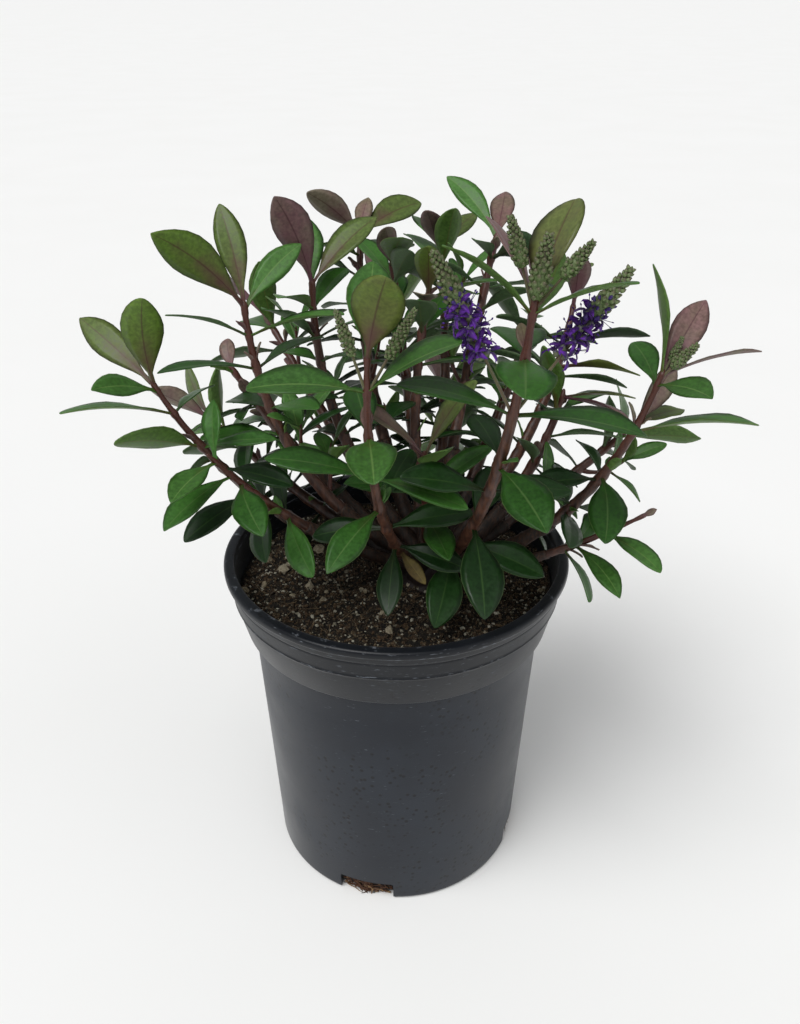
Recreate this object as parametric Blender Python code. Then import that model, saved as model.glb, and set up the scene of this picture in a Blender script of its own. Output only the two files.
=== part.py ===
"""Hebe shrub in its nursery pot, in metres, +Z up, +X to the right and -Y to the front.

The origin is the centre of the pot's flat underside. Stems rise from one short trunk in the
soil. The lower, bare stretch of each stem is a bough. Its upper stretch is a mass of foliage:
the stem with its pairs of leaves, side twigs and flower spikes, fused into one closed solid.
Every bearing is in degrees about the stem: 0 points right, 90 to the back.
"""
import math
import random
from typing import NamedTuple

import bmesh
import bpy
import numpy as np
from mathutils.bvhtree import BVHTree

MM = 0.001
UP = np.array([0.0, 0.0, 1.0])
RIGHT = np.array([1.0, 0.0, 0.0])
CLEARANCE = 0.3 * MM
SMOOTH_ANGLE = 40.0

# Pot
POT_HEIGHT = 173 * MM
LIP_RADIUS = 82.5 * MM
LIP_DEPTH = 4 * MM
LIP_FLAT = 5 * MM
LIP_OVERHANG = 1.5 * MM
COLLAR_DEPTH = 34.6 * MM
COLLAR_RADIUS = 74.5 * MM
RIDGE_DEPTH = 16.5 * MM
RIDGE_OUT = 0.8 * MM
BODY_TOP_RADIUS = 70.7 * MM
BASE_RADIUS = 64.7 * MM
WALL = 2.0 * MM
FLOOR = 2.4 * MM
POT_SIDES = 36
NOTCH_COUNT = 4
NOTCH_BEARING = 256.0
NOTCH_WIDTH = 28 * MM
NOTCH_HEIGHT = 11 * MM
NOTCH_REACH = 7 * MM

# Soil
SOIL_LEVEL = 158 * MM
SOIL_DOME = 2 * MM
SOIL_FLAT = 45 * MM

# Trunk
TRUNK_X = 16 * MM
TRUNK_Y = -3 * MM
TRUNK_FLARE = 15 * MM
FLARE_HEIGHT = 2.5 * MM
TRUNK_RADIUS = 12.5 * MM
TRUNK_MIDDLE = np.array([TRUNK_X, TRUNK_Y, SOIL_LEVEL + FLARE_HEIGHT])
TRUNK_SIDES = 16
TRUNK_RINGS = 6
FOOT_SPREAD_DEG = 22.0
FOOT_LOWEST_DEG = 16.0
FOOT_ROUNDS = 200
FOOT_EASE = 0.5
BARE_BELOW = 9 * MM
LEAST_BOUGH = 18 * MM

# Stems
CURVE_POINTS = 121
BOUGH_FOOT_RADIUS = 2.2 * MM
STEM_RADIUS = 2.0 * MM
TIP_RADIUS = 1.0 * MM
TWIG_RADIUS = 0.9 * MM
BUD = 3 * MM
STEM_SIDES = 5
BOUGH_SIDES = 6
TWIG_SIDES = 4
RING_STEP = 22 * MM
SIDE_TWIG = 22 * MM
TWIG_OPENING = 50.0
TWIG_RISE = 0.7
TWIG_LEAF = 0.6
TWIG_CHANCE = 0.2
TWIG_RANK = 3
# Length below the tip in mm, bearing and opening of each leaf on a side twig
TWIG_LEAVES = ((0, 20, 30), (0, 200, 30), (8, 110, 55), (8, 290, 55))

# Leaves. The petiole is the share of a leaf's length that is its stalk. The few-cornered
# outline is widened so that it covers as much as the rounded leaf that it stands for.
LEAF_RATIO = 0.42
LEAF_THICK = 0.8 * MM
LEAF_CUP = 0.10
LEAF_CORNERS = 3
LEAF_STATIONS = (0.22, 0.55, 0.87)
PETIOLE = 0.06
LEAF_TAIL = 1.3
LEAF_FULLNESS = 0.8
FEW_CORNERS = 1.1
RIB_POINTS = 9
LEAF_ARCH = 26.0
ARCH_START = 0.3
LIGHT_SHARE = 0.12
MOST_ROLL = 1.5
TINY = 1e-6

# Pairs of leaves down a stem by the rule: how far apart, how wide open and how long
TOP_GAP = 9 * MM
GAP_GROWTH = 2.6 * MM
TOP_OPENING = 28
OPENING_STEP = 16
WIDEST_OPENING = 84
RANK_LENGTHS = (1.0, 1.0, 0.98, 0.92, 0.86, 0.8, 0.75, 0.7)
BEARING_SWAY = 14
OPENING_SWAY = 9
LENGTH_SWAY = (0.9, 1.06)
SEED = 11

# Room kept round each leaf, and the small changes of bearing, opening and length that are
# tried in turn until the leaf has it
LEAF_ROOM = 0.5 * MM
SWAYS = ((0, 0), (10, 0), (-10, 0), (0, 9), (0, -9), (20, 6), (-20, 6), (0, 20))
SHORTER = (1.0, 0.85, 0.7)

# Flower spikes
STALK_RADIUS = 0.7 * MM
SPIKE_PLACES = (0.0, 0.2, 0.45, 0.7, 0.88, 1.0)
SPIKE_SIDES = 6
STALK_SIDES = 4
SPIKE_SPAN = 0.8
SPIKE_START = 0.12
SPIKE_FULLNESS = 0.6
BUD_SHARE = 0.5


class Leaf(NamedTuple):
    """One leaf: where its node is and which way it points."""

    below: float
    turn: float
    opening: float
    length: float
    roll: float = 0.0


class Spike(NamedTuple):
    """One flower spike on its stalk: `bloom` is the share of it in open flower."""

    below: float
    turn: float
    opening: float
    stalk: float
    length: float
    width: float
    bloom: float


class Shoot(NamedTuple):
    """One stem from the trunk, with the point it passes and its tip, both in millimetres.

    `turn` is the bearing of its top pair of leaves and `leaf` the length of a full-grown one.
    `leaves` are set by hand, from the tip down; past the last of them, pairs follow the rule.
    """

    name: str
    via: tuple
    tip: tuple
    turn: float
    leaf: float
    pairs: int
    leaves: tuple = ()
    spikes: tuple = ()
    ratio: float = LEAF_RATIO


# Every stem, those that the others are kept clear of first
SHOOTS = (
    Shoot("front_centre", (-6, -54, 223), (-10, -65, 291), 0, 42, 7, leaves=(
        Leaf(0, 284, 38, 42, -25), Leaf(0, 90, 40, 42), Leaf(12, 188, 86, 44), Leaf(12, 353, 62, 41),
        Leaf(31, 276, 84, 40), Leaf(31, 100, 80, 36), Leaf(50, 182, 74, 43), Leaf(50, 346, 104, 39),
        Leaf(68, 240, 78, 42, -20), Leaf(68, 60, 90, 36), Leaf(82, 2, 95, 37), Leaf(82, 175, 92, 34),
        Leaf(98, 267, 78, 34), Leaf(98, 350, 100, 33)), spikes=(
        Spike(13, 185, 16, 13, 16, 5, 0), Spike(13, 0, 27, 14, 18, 5, 0))),
    Shoot("front_right", (38, -60, 240), (48, -65, 312), 0, 46, 8, ratio=0.46, leaves=(
        Leaf(0, 278, 34, 45, -25), Leaf(0, 88, 30, 44), Leaf(4, 199, 60, 43), Leaf(4, 330, 68, 40),
        Leaf(20, 270, 80, 44), Leaf(20, 90, 72, 40), Leaf(42, 181, 78, 46), Leaf(42, 343, 81, 50),
        Leaf(66, 286, 78, 47, 25), Leaf(62, 106, 90, 32), Leaf(80, 185, 85, 38), Leaf(80, 10, 85, 36),
        Leaf(104, 272, 78, 45), Leaf(104, 80, 90, 34), Leaf(120, 336, 75, 38),
        Leaf(136, 252, 70, 40)), spikes=(
        Spike(42, 176, 34, 21, 44, 15, 0.6), Spike(42, 20, 37, 20, 42, 15, 0.6),
        Spike(3, 200, 16, 15, 18, 6.5, 0), Spike(2, 285, 12, 3, 22, 8.5, 0.1),
        Spike(3, 340, 38, 10, 14, 6, 0))),
    Shoot("right", (76, -30, 212), (108, -25, 270), 0, 42, 6, leaves=(
        Leaf(0, 178, 31, 45), Leaf(0, 317, 40, 44), Leaf(3, 60, 24, 42, 10), Leaf(4, 288, 88, 34, 50),
        Leaf(5, 109, 60, 32, -40), Leaf(25, 337, 52, 49), Leaf(25, 148, 105, 40),
        Leaf(48, 270, 98, 43, 30), Leaf(48, 104, 86, 30), Leaf(50, 207, 108, 34),
        Leaf(66, 20, 90, 32), Leaf(66, 190, 95, 32)), spikes=(
        Spike(1, 40, 10, 8, 10, 4, 0), Spike(1, 330, 26, 6, 13, 6, 0))),
    Shoot("low_right", (67, -42, 196), (101, -48, 217), 0, 32, 4, leaves=(
        Leaf(0, 233, 22, 13), Leaf(0, 60, 20, 14), Leaf(16, 294, 52, 32, 45), Leaf(16, 110, 70, 24),
        Leaf(30, 278, 58, 35, 50), Leaf(30, 67, 75, 29))),
    Shoot("left_tall", (-46, -12, 231), (-63, -3, 292), 45, 42, 7, leaves=(
        Leaf(0, 236, 48, 54, 55), Leaf(0, 116, 14, 44, -15), Leaf(1, 30, 44, 38, 60),
        Leaf(2, 140, 22, 40, -20),
        Leaf(12, 223, 68, 39), Leaf(12, 348, 88, 43), Leaf(26, 221, 76, 46, -35), Leaf(26, 41, 80, 38),
        Leaf(44, 130, 80, 38), Leaf(44, 310, 85, 38), Leaf(60, 165, 64, 42), Leaf(62, 17, 85, 34))),
    Shoot("left", (-67, -30, 224), (-95, -38, 271), 0, 42, 6, leaves=(
        Leaf(0, 332, 29, 43, -50), Leaf(0, 134, 44, 45, -20), Leaf(3, 250, 57, 33, -60),
        Leaf(14, 226, 49, 46),
        Leaf(14, 75, 100, 32), Leaf(33, 237, 30, 42), Leaf(33, 344, 100, 42, 30),
        Leaf(46, 294, 40, 28, 20), Leaf(46, 329, 120, 32), Leaf(60, 90, 80, 34))),
    Shoot("left_low", (-50, -38, 215), (-72, -54, 247), 60, 34, 5, leaves=(
        Leaf(3, 262, 56, 33, -25), Leaf(3, 80, 60, 26), Leaf(13, 242, 60, 38, -10),
        Leaf(19, 296, 80, 37, -20),
        Leaf(28, 231, 58, 36, -15), Leaf(28, 30, 80, 30), Leaf(48, 290, 95, 34),
        Leaf(48, 110, 80, 30))),
    Shoot("back_left", (-30, 18, 240), (-37, 24, 294), 30, 42, 7, leaves=(
        Leaf(0, 234, 24, 45, 45), Leaf(0, 33, 47, 43, 20), Leaf(3, 90, 36, 38), Leaf(11, 250, 56, 36),
        Leaf(11, 65, 65, 36), Leaf(24, 237, 62, 40), Leaf(24, 330, 70, 38))),
    Shoot("back_mid_left", (-14, 52, 250), (-18, 80, 303), 30, 42, 7, leaves=(
        Leaf(0, 225, 62, 36, 35), Leaf(0, 34, 54, 43, 55), Leaf(1, 70, 18, 24, 20),
        Leaf(10, 238, 90, 38),
        Leaf(10, 60, 60, 36))),
    Shoot("back_middle", (6, 36, 236), (-2, 54, 294), 90, 40, 7, leaves=(
        Leaf(0, 250, 40, 34, 25), Leaf(0, 279, 46, 40, -10), Leaf(8, 297, 62, 36, -40),
        Leaf(8, 130, 50, 36))),
    Shoot("middle", (9, 14, 223), (15, 32, 290), 80, 40, 7, leaves=(
        Leaf(4, 259, 46, 35, 10), Leaf(8, 262, 74, 32), Leaf(5, 350, 60, 34), Leaf(5, 140, 53, 36))),
    Shoot("back_far", (24, 50, 240), (22, 84, 294), 30, 38, 7, leaves=(
        Leaf(0, 30, 42, 34, 40), Leaf(0, 117, 27, 36), Leaf(1, 255, 60, 30))),
    Shoot("back_right", (32, 33, 240), (47, 61, 306), 40, 40, 7, leaves=(
        Leaf(0, 146, 48, 43, -60), Leaf(2, 88, 33, 36, -10), Leaf(10, 248, 80, 28),
        Leaf(10, 300, 75, 36, -50), Leaf(24, 20, 70, 38), Leaf(24, 190, 75, 36))),
    Shoot("right_back", (60, 16, 220), (84, 50, 276), 80, 40, 7, leaves=(
        Leaf(0, 262, 60, 32), Leaf(19, 341, 68, 40), Leaf(19, 170, 75, 36),
        Leaf(30, 328, 81, 41), Leaf(30, 140, 80, 36))),
    Shoot("right_inner", (55, 3, 200), (77, 19, 244), 320, 38, 5, leaves=(
        Leaf(1, 327, 90, 35), Leaf(1, 354, 70, 34), Leaf(1, 150, 50, 34))),
    Shoot("left_inner", (-50, 14, 222), (-76, 24, 255), 40, 38, 5, leaves=(
        Leaf(3, 200, 40, 30), Leaf(3, 40, 45, 32), Leaf(19, 259, 71, 32), Leaf(21, 235, 66, 39),
        Leaf(30, 331, 100, 40), Leaf(30, 130, 70, 34))),
    Shoot("far_left_back", (-38, 46, 226), (-66, 78, 262), 20, 40, 7),
    Shoot("far_back", (6, 66, 222), (-2, 118, 258), 60, 40, 7),
    Shoot("far_right_back", (52, 52, 222), (74, 92, 264), 10, 40, 7),
    Shoot("low_right_back", (76, 16, 196), (116, 34, 222), 50, 38, 6),
    Shoot("low_left_back", (-52, 26, 192), (-92, 44, 220), 50, 38, 6),
    Shoot("low_back", (22, 56, 188), (26, 100, 212), 20, 38, 6),
    Shoot("centre_low", (14, -22, 196), (12, -34, 238), 15, 38, 5),
)


def rank_below(rank):
    """Length below the tip, in mm, of a pair that follows the rule, counted from the tip."""
    return (TOP_GAP * rank + GAP_GROWTH * rank * (rank - 1) / 2) / MM


def rule_leaf(shoot, rank, side, chance):
    """Leaf of a pair that follows the rule: lower ones open wider and are shorter."""
    turn = shoot.turn + 90 * rank + 180 * side + chance.uniform(-BEARING_SWAY, BEARING_SWAY)
    opening = min(TOP_OPENING + OPENING_STEP * rank, WIDEST_OPENING)
    opening += chance.uniform(-OPENING_SWAY, OPENING_SWAY)
    length = shoot.leaf * RANK_LENGTHS[min(rank, len(RANK_LENGTHS) - 1)]
    return Leaf(rank_below(rank), turn, opening, length * chance.uniform(*LENGTH_SWAY))


def unit(vector):
    """The vector at length 1."""
    return vector / np.linalg.norm(vector)


class Stem:
    """A stem's curve: one bow through three points, read by its length below the tip."""

    def __init__(self, foot, via, tip):
        """Find the bow's middle handle so that the curve passes the point given."""
        reach = np.linalg.norm(via - foot)
        share = reach / (reach + np.linalg.norm(tip - via))
        handle = (via - (1 - share) ** 2 * foot - share ** 2 * tip) / (2 * share * (1 - share))
        place = np.linspace(0.0, 1.0, CURVE_POINTS)[:, None]
        self.points = (1 - place) ** 2 * foot + 2 * place * (1 - place) * handle + place ** 2 * tip
        slopes = 2 * (1 - place) * (handle - foot) + 2 * place * (tip - handle)
        self.slopes = slopes / np.linalg.norm(slopes, axis=1)[:, None]
        steps = np.linalg.norm(np.diff(self.points, axis=0), axis=1)
        self.along = np.concatenate([[0.0], np.cumsum(steps)])
        self.length = self.along[-1]

    def at(self, below):
        """Point and direction at a length below the tip."""
        where = self.length - below
        point = np.array([np.interp(where, self.along, self.points[:, axis]) for axis in range(3)])
        slope = np.array([np.interp(where, self.along, self.slopes[:, axis]) for axis in range(3)])
        return point, unit(slope)

    def side(self, below, turn):
        """Point, direction and the sideways direction at a bearing about the stem."""
        point, slope = self.at(below)
        across = unit(RIGHT - slope * (RIGHT @ slope))
        angle = math.radians(turn)
        return point, slope, math.cos(angle) * across + math.sin(angle) * np.cross(slope, across)


def profile_width(share):
    """Half-width of a leaf along its length, as a share of the greatest half-width."""
    blade = np.clip((share - PETIOLE) / (1 - PETIOLE), 0.0, 1.0)
    return np.sin(np.pi * blade ** LEAF_TAIL) ** LEAF_FULLNESS


def turned(vectors, axes, angle):
    """Vectors turned about unit axes by one angle."""
    along = np.sum(vectors * axes, axis=1)[:, None] * axes
    return along + (vectors - along) * math.cos(angle) + np.cross(axes, vectors) * math.sin(angle)


def leaf_rib(stem, leaf):
    """Points along a leaf's rib with the directions across it and out of its upper face.

    The rib leaves the stem's middle at the leaf's opening and arches over by LEAF_ARCH degrees.
    The blade then turns about its rib, a share of the way towards the light.
    """
    point, slope, out = stem.side(leaf.below * MM, leaf.turn)
    share = np.linspace(0.0, 1.0, RIB_POINTS)
    angle = np.radians(leaf.opening + LEAF_ARCH * (share - ARCH_START))[:, None]
    heading = np.cos(angle) * slope + np.sin(angle) * out
    upper = np.sin(angle) * slope - np.cos(angle) * out
    steps = (heading[1:] + heading[:-1]) / 2 * leaf.length * MM / (RIB_POINTS - 1)
    rib = point + np.concatenate([np.zeros((1, 3)), np.cumsum(steps, axis=0)])
    middle = heading[RIB_POINTS // 2]
    light = unit(UP - middle * (UP @ middle) + TINY * RIGHT)
    face = upper[RIB_POINTS // 2]
    to_light = math.atan2(np.cross(face, light) @ middle, face @ light)
    to_light = max(-MOST_ROLL, min(MOST_ROLL, to_light))
    lying = 1 - middle[2] ** 2
    upper = turned(upper, heading, LIGHT_SHARE * lying * to_light + math.radians(leaf.roll))
    return share, rib, np.cross(heading, upper), upper


def leaf_shell(stem, leaf, ratio):
    """Closed low leaf: its root in the stem, stations of two edges and a keel, and its tip."""
    share, rib, across, upper = leaf_rib(stem, leaf)
    stations = np.array(LEAF_STATIONS)
    half = profile_width(stations) * leaf.length * MM * ratio / 2 * FEW_CORNERS
    corners = [rib[0]]
    for place, reach in zip(stations, half):
        index = place * (RIB_POINTS - 1)
        middle, wide, high = (
            np.array([np.interp(index, range(RIB_POINTS), line[:, axis]) for axis in range(3)])
            for line in (rib, across, upper))
        raised = high * reach * LEAF_CUP
        corners += [middle + wide * reach + raised, middle - wide * reach + raised,
                    middle - high * LEAF_THICK]
    corners.append(rib[-1])
    return np.array(corners), ring_faces(len(stations), LEAF_CORNERS)


def ring_faces(rings, sides):
    """Faces of a closed shell: a first point, rings of points and a last point."""
    last = rings * sides + 1
    faces = [(0, 1 + (side + 1) % sides, 1 + side) for side in range(sides)]
    for ring in range(rings - 1):
        start = 1 + ring * sides
        for side in range(sides):
            after = (side + 1) % sides
            faces.append((start + side, start + after, start + sides + after, start + sides + side))
    start = last - sides
    faces += [(start + side, start + (side + 1) % sides, last) for side in range(sides)]
    return faces


def tube_shell(points, slopes, radii, sides):
    """Closed round rod along points, each ring square to the rod, with flat ends."""
    angle = np.arange(sides) * 2 * math.pi / sides
    corners = [points[0]]
    for point, slope, radius in zip(points, slopes, radii):
        across = unit(RIGHT - slope * (RIGHT @ slope))
        up = np.cross(slope, across)
        circle = np.cos(angle)[:, None] * across + np.sin(angle)[:, None] * up
        corners += list(point + radius * circle)
    corners.append(points[-1])
    return np.array(corners), ring_faces(len(points), sides)


def stem_shell(stem, below, above, thick, thin, sides, bud=0.0):
    """Tapering rod along a stem from one length below its tip to another, with a bud on its end."""
    rings = max(3, round((below - above) / RING_STEP) + 1)
    places = np.linspace(below, above, rings)
    points, slopes = zip(*(stem.at(place) for place in places))
    radii = np.linspace(thick, thin, rings)
    if bud:
        points += (points[-1] + slopes[-1] * bud,)
        slopes += (slopes[-1],)
        radii = np.append(radii, thin / 2)
    return tube_shell(points, slopes, radii, sides)


def spike_shells(stem, spike):
    """A flower spike's stalk and its tapering head, which is widest where it is in flower."""
    point, slope, out = stem.side(spike.below * MM, spike.turn)
    angle = math.radians(spike.opening)
    heading = math.cos(angle) * slope + math.sin(angle) * out
    neck = point + heading * spike.stalk * MM
    tip = neck + heading * spike.length * MM
    stalk = tube_shell((point, neck + heading * MM), (heading,) * 2, (STALK_RADIUS,) * 2,
                       STALK_SIDES)
    places = np.array(SPIKE_PLACES)
    budded = np.sin(np.pi * (places * SPIKE_SPAN + SPIKE_START)) ** SPIKE_FULLNESS
    flowering = np.where((places < spike.bloom) | (spike.bloom == 0), 1.0, BUD_SHARE)
    radii = spike.width * MM / 2 * budded * flowering
    points = neck + (tip - neck) * places[:, None]
    return stalk, tube_shell(points, (heading,) * len(places), radii, SPIKE_SIDES)


class Space:
    """The room already taken, as one tree of triangles for each piece."""

    def __init__(self):
        """Start with nothing placed."""
        self.taken = []

    def add(self, shell, owner):
        """Take up the room of a shell and note whose it is."""
        self.taken.append((BVHTree.FromPolygons(shell[0].tolist(), shell[1]), owner))

    def holds(self, shell, own=()):
        """Whether a shell touches nothing but the pieces of the owners left out."""
        tree = BVHTree.FromPolygons(shell[0].tolist(), shell[1])
        return not any(tree.overlap(other) for other, owner in self.taken if owner not in own)


def swollen(shell):
    """A leaf's shell made thicker to test its room: the whole of it, and its blade alone."""
    corners, faces = shell
    rings = corners[1:-1].reshape(-1, LEAF_CORNERS, 3)
    wide = unit(rings[1, 0] - rings[1, 1]) * LEAF_ROOM
    lift = unit(rings[1, :2].mean(axis=0) - rings[1, 2]) * LEAF_ROOM
    rings = rings + np.array([wide + lift, lift - wide, -lift])
    tip = corners[-1] + unit(corners[-1] - corners[0]) * LEAF_ROOM
    sides = rings.reshape(-1, 3)
    roots = (corners[0], rings[0].mean(axis=0))
    return [(np.concatenate([[root], sides, [tip]]), faces) for root in roots]


def settle(space, stem, leaf, ratio, owner):
    """The leaf nearest to the one asked for that touches nothing, or None."""
    for short in SHORTER:
        for sway, rise in SWAYS:
            trial = leaf._replace(turn=leaf.turn + sway, opening=leaf.opening + rise,
                                  length=leaf.length * short)
            shell = leaf_shell(stem, trial, ratio)
            whole, blade = swollen(shell)
            own = (owner, owner + " leaf", owner + " spike")
            if space.holds(whole, own) and space.holds(blade, (owner,)):
                space.add(shell, owner + " leaf")
                return shell
    return None


def side_twig(stem, leaf):
    """A short side stem that grows from a leaf's joint and turns up to the light."""
    point, slope, out = stem.side(leaf.below * MM, leaf.turn)
    angle = math.radians(TWIG_OPENING)
    heading = math.cos(angle) * slope + math.sin(angle) * out
    via = point + heading * SIDE_TWIG / 2
    return Stem(point, via, via + unit(heading + TWIG_RISE * UP) * SIDE_TWIG / 2)


def foot_headings(shoots):
    """Directions in which the stems leave the trunk, spread until none crowds another."""
    spread = math.radians(FOOT_SPREAD_DEG)
    lowest = math.radians(FOOT_LOWEST_DEG)
    headings = np.array([unit(np.array(shoot.via) * MM - TRUNK_MIDDLE) for shoot in shoots])
    for _ in range(FOOT_ROUNDS):
        away = headings[:, None] - headings
        gap = np.linalg.norm(away, axis=2)[:, :, None]
        crowding = np.where((gap > 0) & (gap < spread), spread - gap, 0.0)
        headings = headings + FOOT_EASE * (away / np.maximum(gap, TINY) * crowding).sum(axis=1)
        headings /= np.linalg.norm(headings, axis=1)[:, None]
        low = headings[:, 2] < math.sin(lowest)
        flat = headings[low, :2] / np.linalg.norm(headings[low, :2], axis=1)[:, None]
        headings[low, :2] = flat * math.cos(lowest)
        headings[low, 2] = math.sin(lowest)
    return headings


def plant_stem(shoot, heading):
    """A shoot's stem, its foot face to face with the trunk."""
    via = np.array(shoot.via) * MM
    tip = np.array(shoot.tip) * MM
    stem = Stem(TRUNK_MIDDLE + heading * TRUNK_RADIUS, via, tip)
    lean = math.sqrt(max(0.0, 1 - (stem.slopes[0] @ heading) ** 2))
    away = TRUNK_RADIUS + CLEARANCE + BOUGH_FOOT_RADIUS * lean
    return Stem(TRUNK_MIDDLE + heading * away, via, tip)


class Plant:
    """One shoot as it grows: its stem's curve, its bough, and the shells of its foliage."""

    def __init__(self, shoot, heading):
        """Set the stem up and split it where its lowest leaf stands."""
        self.shoot = shoot
        self.name = shoot.name
        self.stem = plant_stem(shoot, heading)
        lowest = max([leaf.below for leaf in shoot.leaves] + [rank_below(shoot.pairs - 1)])
        self.bare = min(lowest * MM + BARE_BELOW, self.stem.length - LEAST_BOUGH)
        self.bough = stem_shell(self.stem, self.stem.length, self.bare,
                                BOUGH_FOOT_RADIUS, STEM_RADIUS, BOUGH_SIDES)
        self.mass = [stem_shell(self.stem, self.bare - CLEARANCE, 0.0,
                                STEM_RADIUS, TIP_RADIUS, STEM_SIDES, BUD)]

    def take_room(self, space):
        """Take up the room of the bough and of the stem above it."""
        space.add(self.mass[0], self.name)
        space.add(self.bough, self.name + " bough")

    def grow_spikes(self, space):
        """Set the flower spikes on the stem."""
        for spike in self.shoot.spikes:
            for shell in spike_shells(self.stem, spike):
                space.add(shell, self.name + " spike")
                self.mass.append(shell)

    def grow_leaves(self, space, wanted):
        """Settle the leaves wanted, from the tip down."""
        for stem, leaf in wanted:
            shell = settle(space, stem, leaf, self.shoot.ratio, self.name)
            if shell:
                self.mass.append(shell)

    def hand_leaves(self):
        """The leaves set by hand."""
        return [(self.stem, leaf) for leaf in self.shoot.leaves]

    def rule_leaves(self, space, chance):
        """Pairs that follow the rule below the leaves set by hand, some with a side twig."""
        last = max([leaf.below for leaf in self.shoot.leaves], default=-TOP_GAP / MM)
        wanted = []
        for rank in range(self.shoot.pairs):
            for side in range(2):
                leaf = rule_leaf(self.shoot, rank, side, chance)
                high = leaf.below <= last + TOP_GAP / MM / 2
                if high or leaf.below * MM > self.bare - STEM_RADIUS:
                    continue
                if rank >= TWIG_RANK and chance.random() < TWIG_CHANCE:
                    twig = side_twig(self.stem, leaf)
                    if self.grow_twig(space, twig):
                        wanted += [(twig, Leaf(down, turn, opening, self.shoot.leaf * TWIG_LEAF))
                                   for down, turn, opening in TWIG_LEAVES]
                        continue
                wanted.append((self.stem, leaf))
        return wanted

    def grow_twig(self, space, twig):
        """Add a side twig's rod if it touches no other shoot."""
        rod = stem_shell(twig, twig.length, 0.0, TWIG_RADIUS, TWIG_RADIUS / 2, TWIG_SIDES, BUD)
        fits = space.holds(rod, (self.name,))
        if fits:
            space.add(rod, self.name)
            self.mass.append(rod)
        return fits


def grow():
    """Place every stem, spike and leaf, and return the plants in order."""
    space = Space()
    space.add(lathe_shell(pot_profile(), POT_SIDES), "pot")
    space.add(lathe_shell(soil_profile(), POT_SIDES), "soil")
    plants = [Plant(shoot, heading) for shoot, heading in zip(SHOOTS, foot_headings(SHOOTS))]
    for plant in plants:
        plant.take_room(space)
    space.add(trunk_shell(), "trunk")
    for plant in plants:
        plant.grow_spikes(space)
    for plant in plants:
        plant.grow_leaves(space, plant.hand_leaves())
    for index, plant in enumerate(plants):
        plant.grow_leaves(space, plant.rule_leaves(space, random.Random(SEED + index)))
    return plants


def lathe_shell(profile, sides):
    """Closed solid of revolution about the pot's axis, from a profile that starts and ends on it."""
    angle = np.arange(sides) * 2 * math.pi / sides
    circle = np.column_stack([np.cos(angle), np.sin(angle), np.zeros(sides)])
    corners = [np.array([0.0, 0.0, profile[0][1]])]
    for radius, height in profile[1:-1]:
        corners += list(circle * radius + height * UP)
    corners.append(np.array([0.0, 0.0, profile[-1][1]]))
    return np.array(corners), ring_faces(len(profile) - 2, sides)


def wall_radius(height):
    """Outer radius of the pot's body at a height."""
    return BASE_RADIUS + (BODY_TOP_RADIUS - BASE_RADIUS) * height / (POT_HEIGHT - COLLAR_DEPTH)


def collar_radius(height):
    """Outer radius of the pot's collar at a height."""
    slope = (LIP_RADIUS - LIP_OVERHANG - COLLAR_RADIUS) / (COLLAR_DEPTH - LIP_DEPTH)
    return COLLAR_RADIUS + slope * (height - POT_HEIGHT + COLLAR_DEPTH)


def pot_profile():
    """The pot's section, from the middle of its underside round the outside and in over the lip."""
    collar = POT_HEIGHT - COLLAR_DEPTH
    ridge = POT_HEIGHT - RIDGE_DEPTH
    at_ridge = collar_radius(ridge)
    under_lip = POT_HEIGHT - LIP_DEPTH
    return [(0.0, 0.0), (BASE_RADIUS - WALL, 0.0), (BASE_RADIUS, WALL / 2),
            (wall_radius(collar), collar), (COLLAR_RADIUS, collar + WALL / 2),
            (at_ridge, ridge - RIDGE_OUT), (at_ridge + RIDGE_OUT, ridge),
            (at_ridge + RIDGE_OUT / 2, ridge + RIDGE_OUT), (collar_radius(under_lip), under_lip),
            (LIP_RADIUS, under_lip + WALL / 4), (LIP_RADIUS, POT_HEIGHT - WALL / 2),
            (LIP_RADIUS - WALL / 2, POT_HEIGHT), (LIP_RADIUS - LIP_FLAT, POT_HEIGHT),
            (at_ridge - WALL, ridge), (COLLAR_RADIUS - WALL, collar + WALL),
            (wall_radius(collar) - WALL, collar), (BASE_RADIUS - WALL, FLOOR), (0.0, FLOOR)]


def soil_profile():
    """The soil's section, clear of the pot's floor and wall, low at its edge."""
    collar = POT_HEIGHT - COLLAR_DEPTH
    ridge = POT_HEIGHT - RIDGE_DEPTH
    edge = SOIL_LEVEL - SOIL_DOME
    rise = (edge - collar - WALL) / (ridge - collar - WALL)
    at_edge = COLLAR_RADIUS + rise * (collar_radius(ridge) - COLLAR_RADIUS)
    inset = WALL + CLEARANCE * 2
    return [(0.0, FLOOR + CLEARANCE), (BASE_RADIUS - inset, FLOOR + CLEARANCE),
            (wall_radius(collar) - inset, collar + CLEARANCE * 2),
            (COLLAR_RADIUS - inset, collar + WALL + CLEARANCE * 2), (at_edge - inset, edge),
            (SOIL_FLAT, SOIL_LEVEL), (0.0, SOIL_LEVEL)]


def trunk_shell():
    """The short trunk: flared at a flat cut on the soil, domed where the stems part."""
    angle = np.linspace(0.0, math.pi / 2, TRUNK_RINGS)[:-1]
    rings = [(TRUNK_FLARE, SOIL_LEVEL + CLEARANCE), (TRUNK_RADIUS, SOIL_LEVEL + FLARE_HEIGHT)]
    rings += [(TRUNK_RADIUS * math.cos(step), TRUNK_MIDDLE[2] + TRUNK_RADIUS * math.sin(step))
              for step in angle[1:]]
    profile = [(0.0, rings[0][1])] + rings + [(0.0, TRUNK_MIDDLE[2] + TRUNK_RADIUS)]
    corners, faces = lathe_shell(profile, TRUNK_SIDES)
    return corners + TRUNK_MIDDLE * (1, 1, 0), faces


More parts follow.
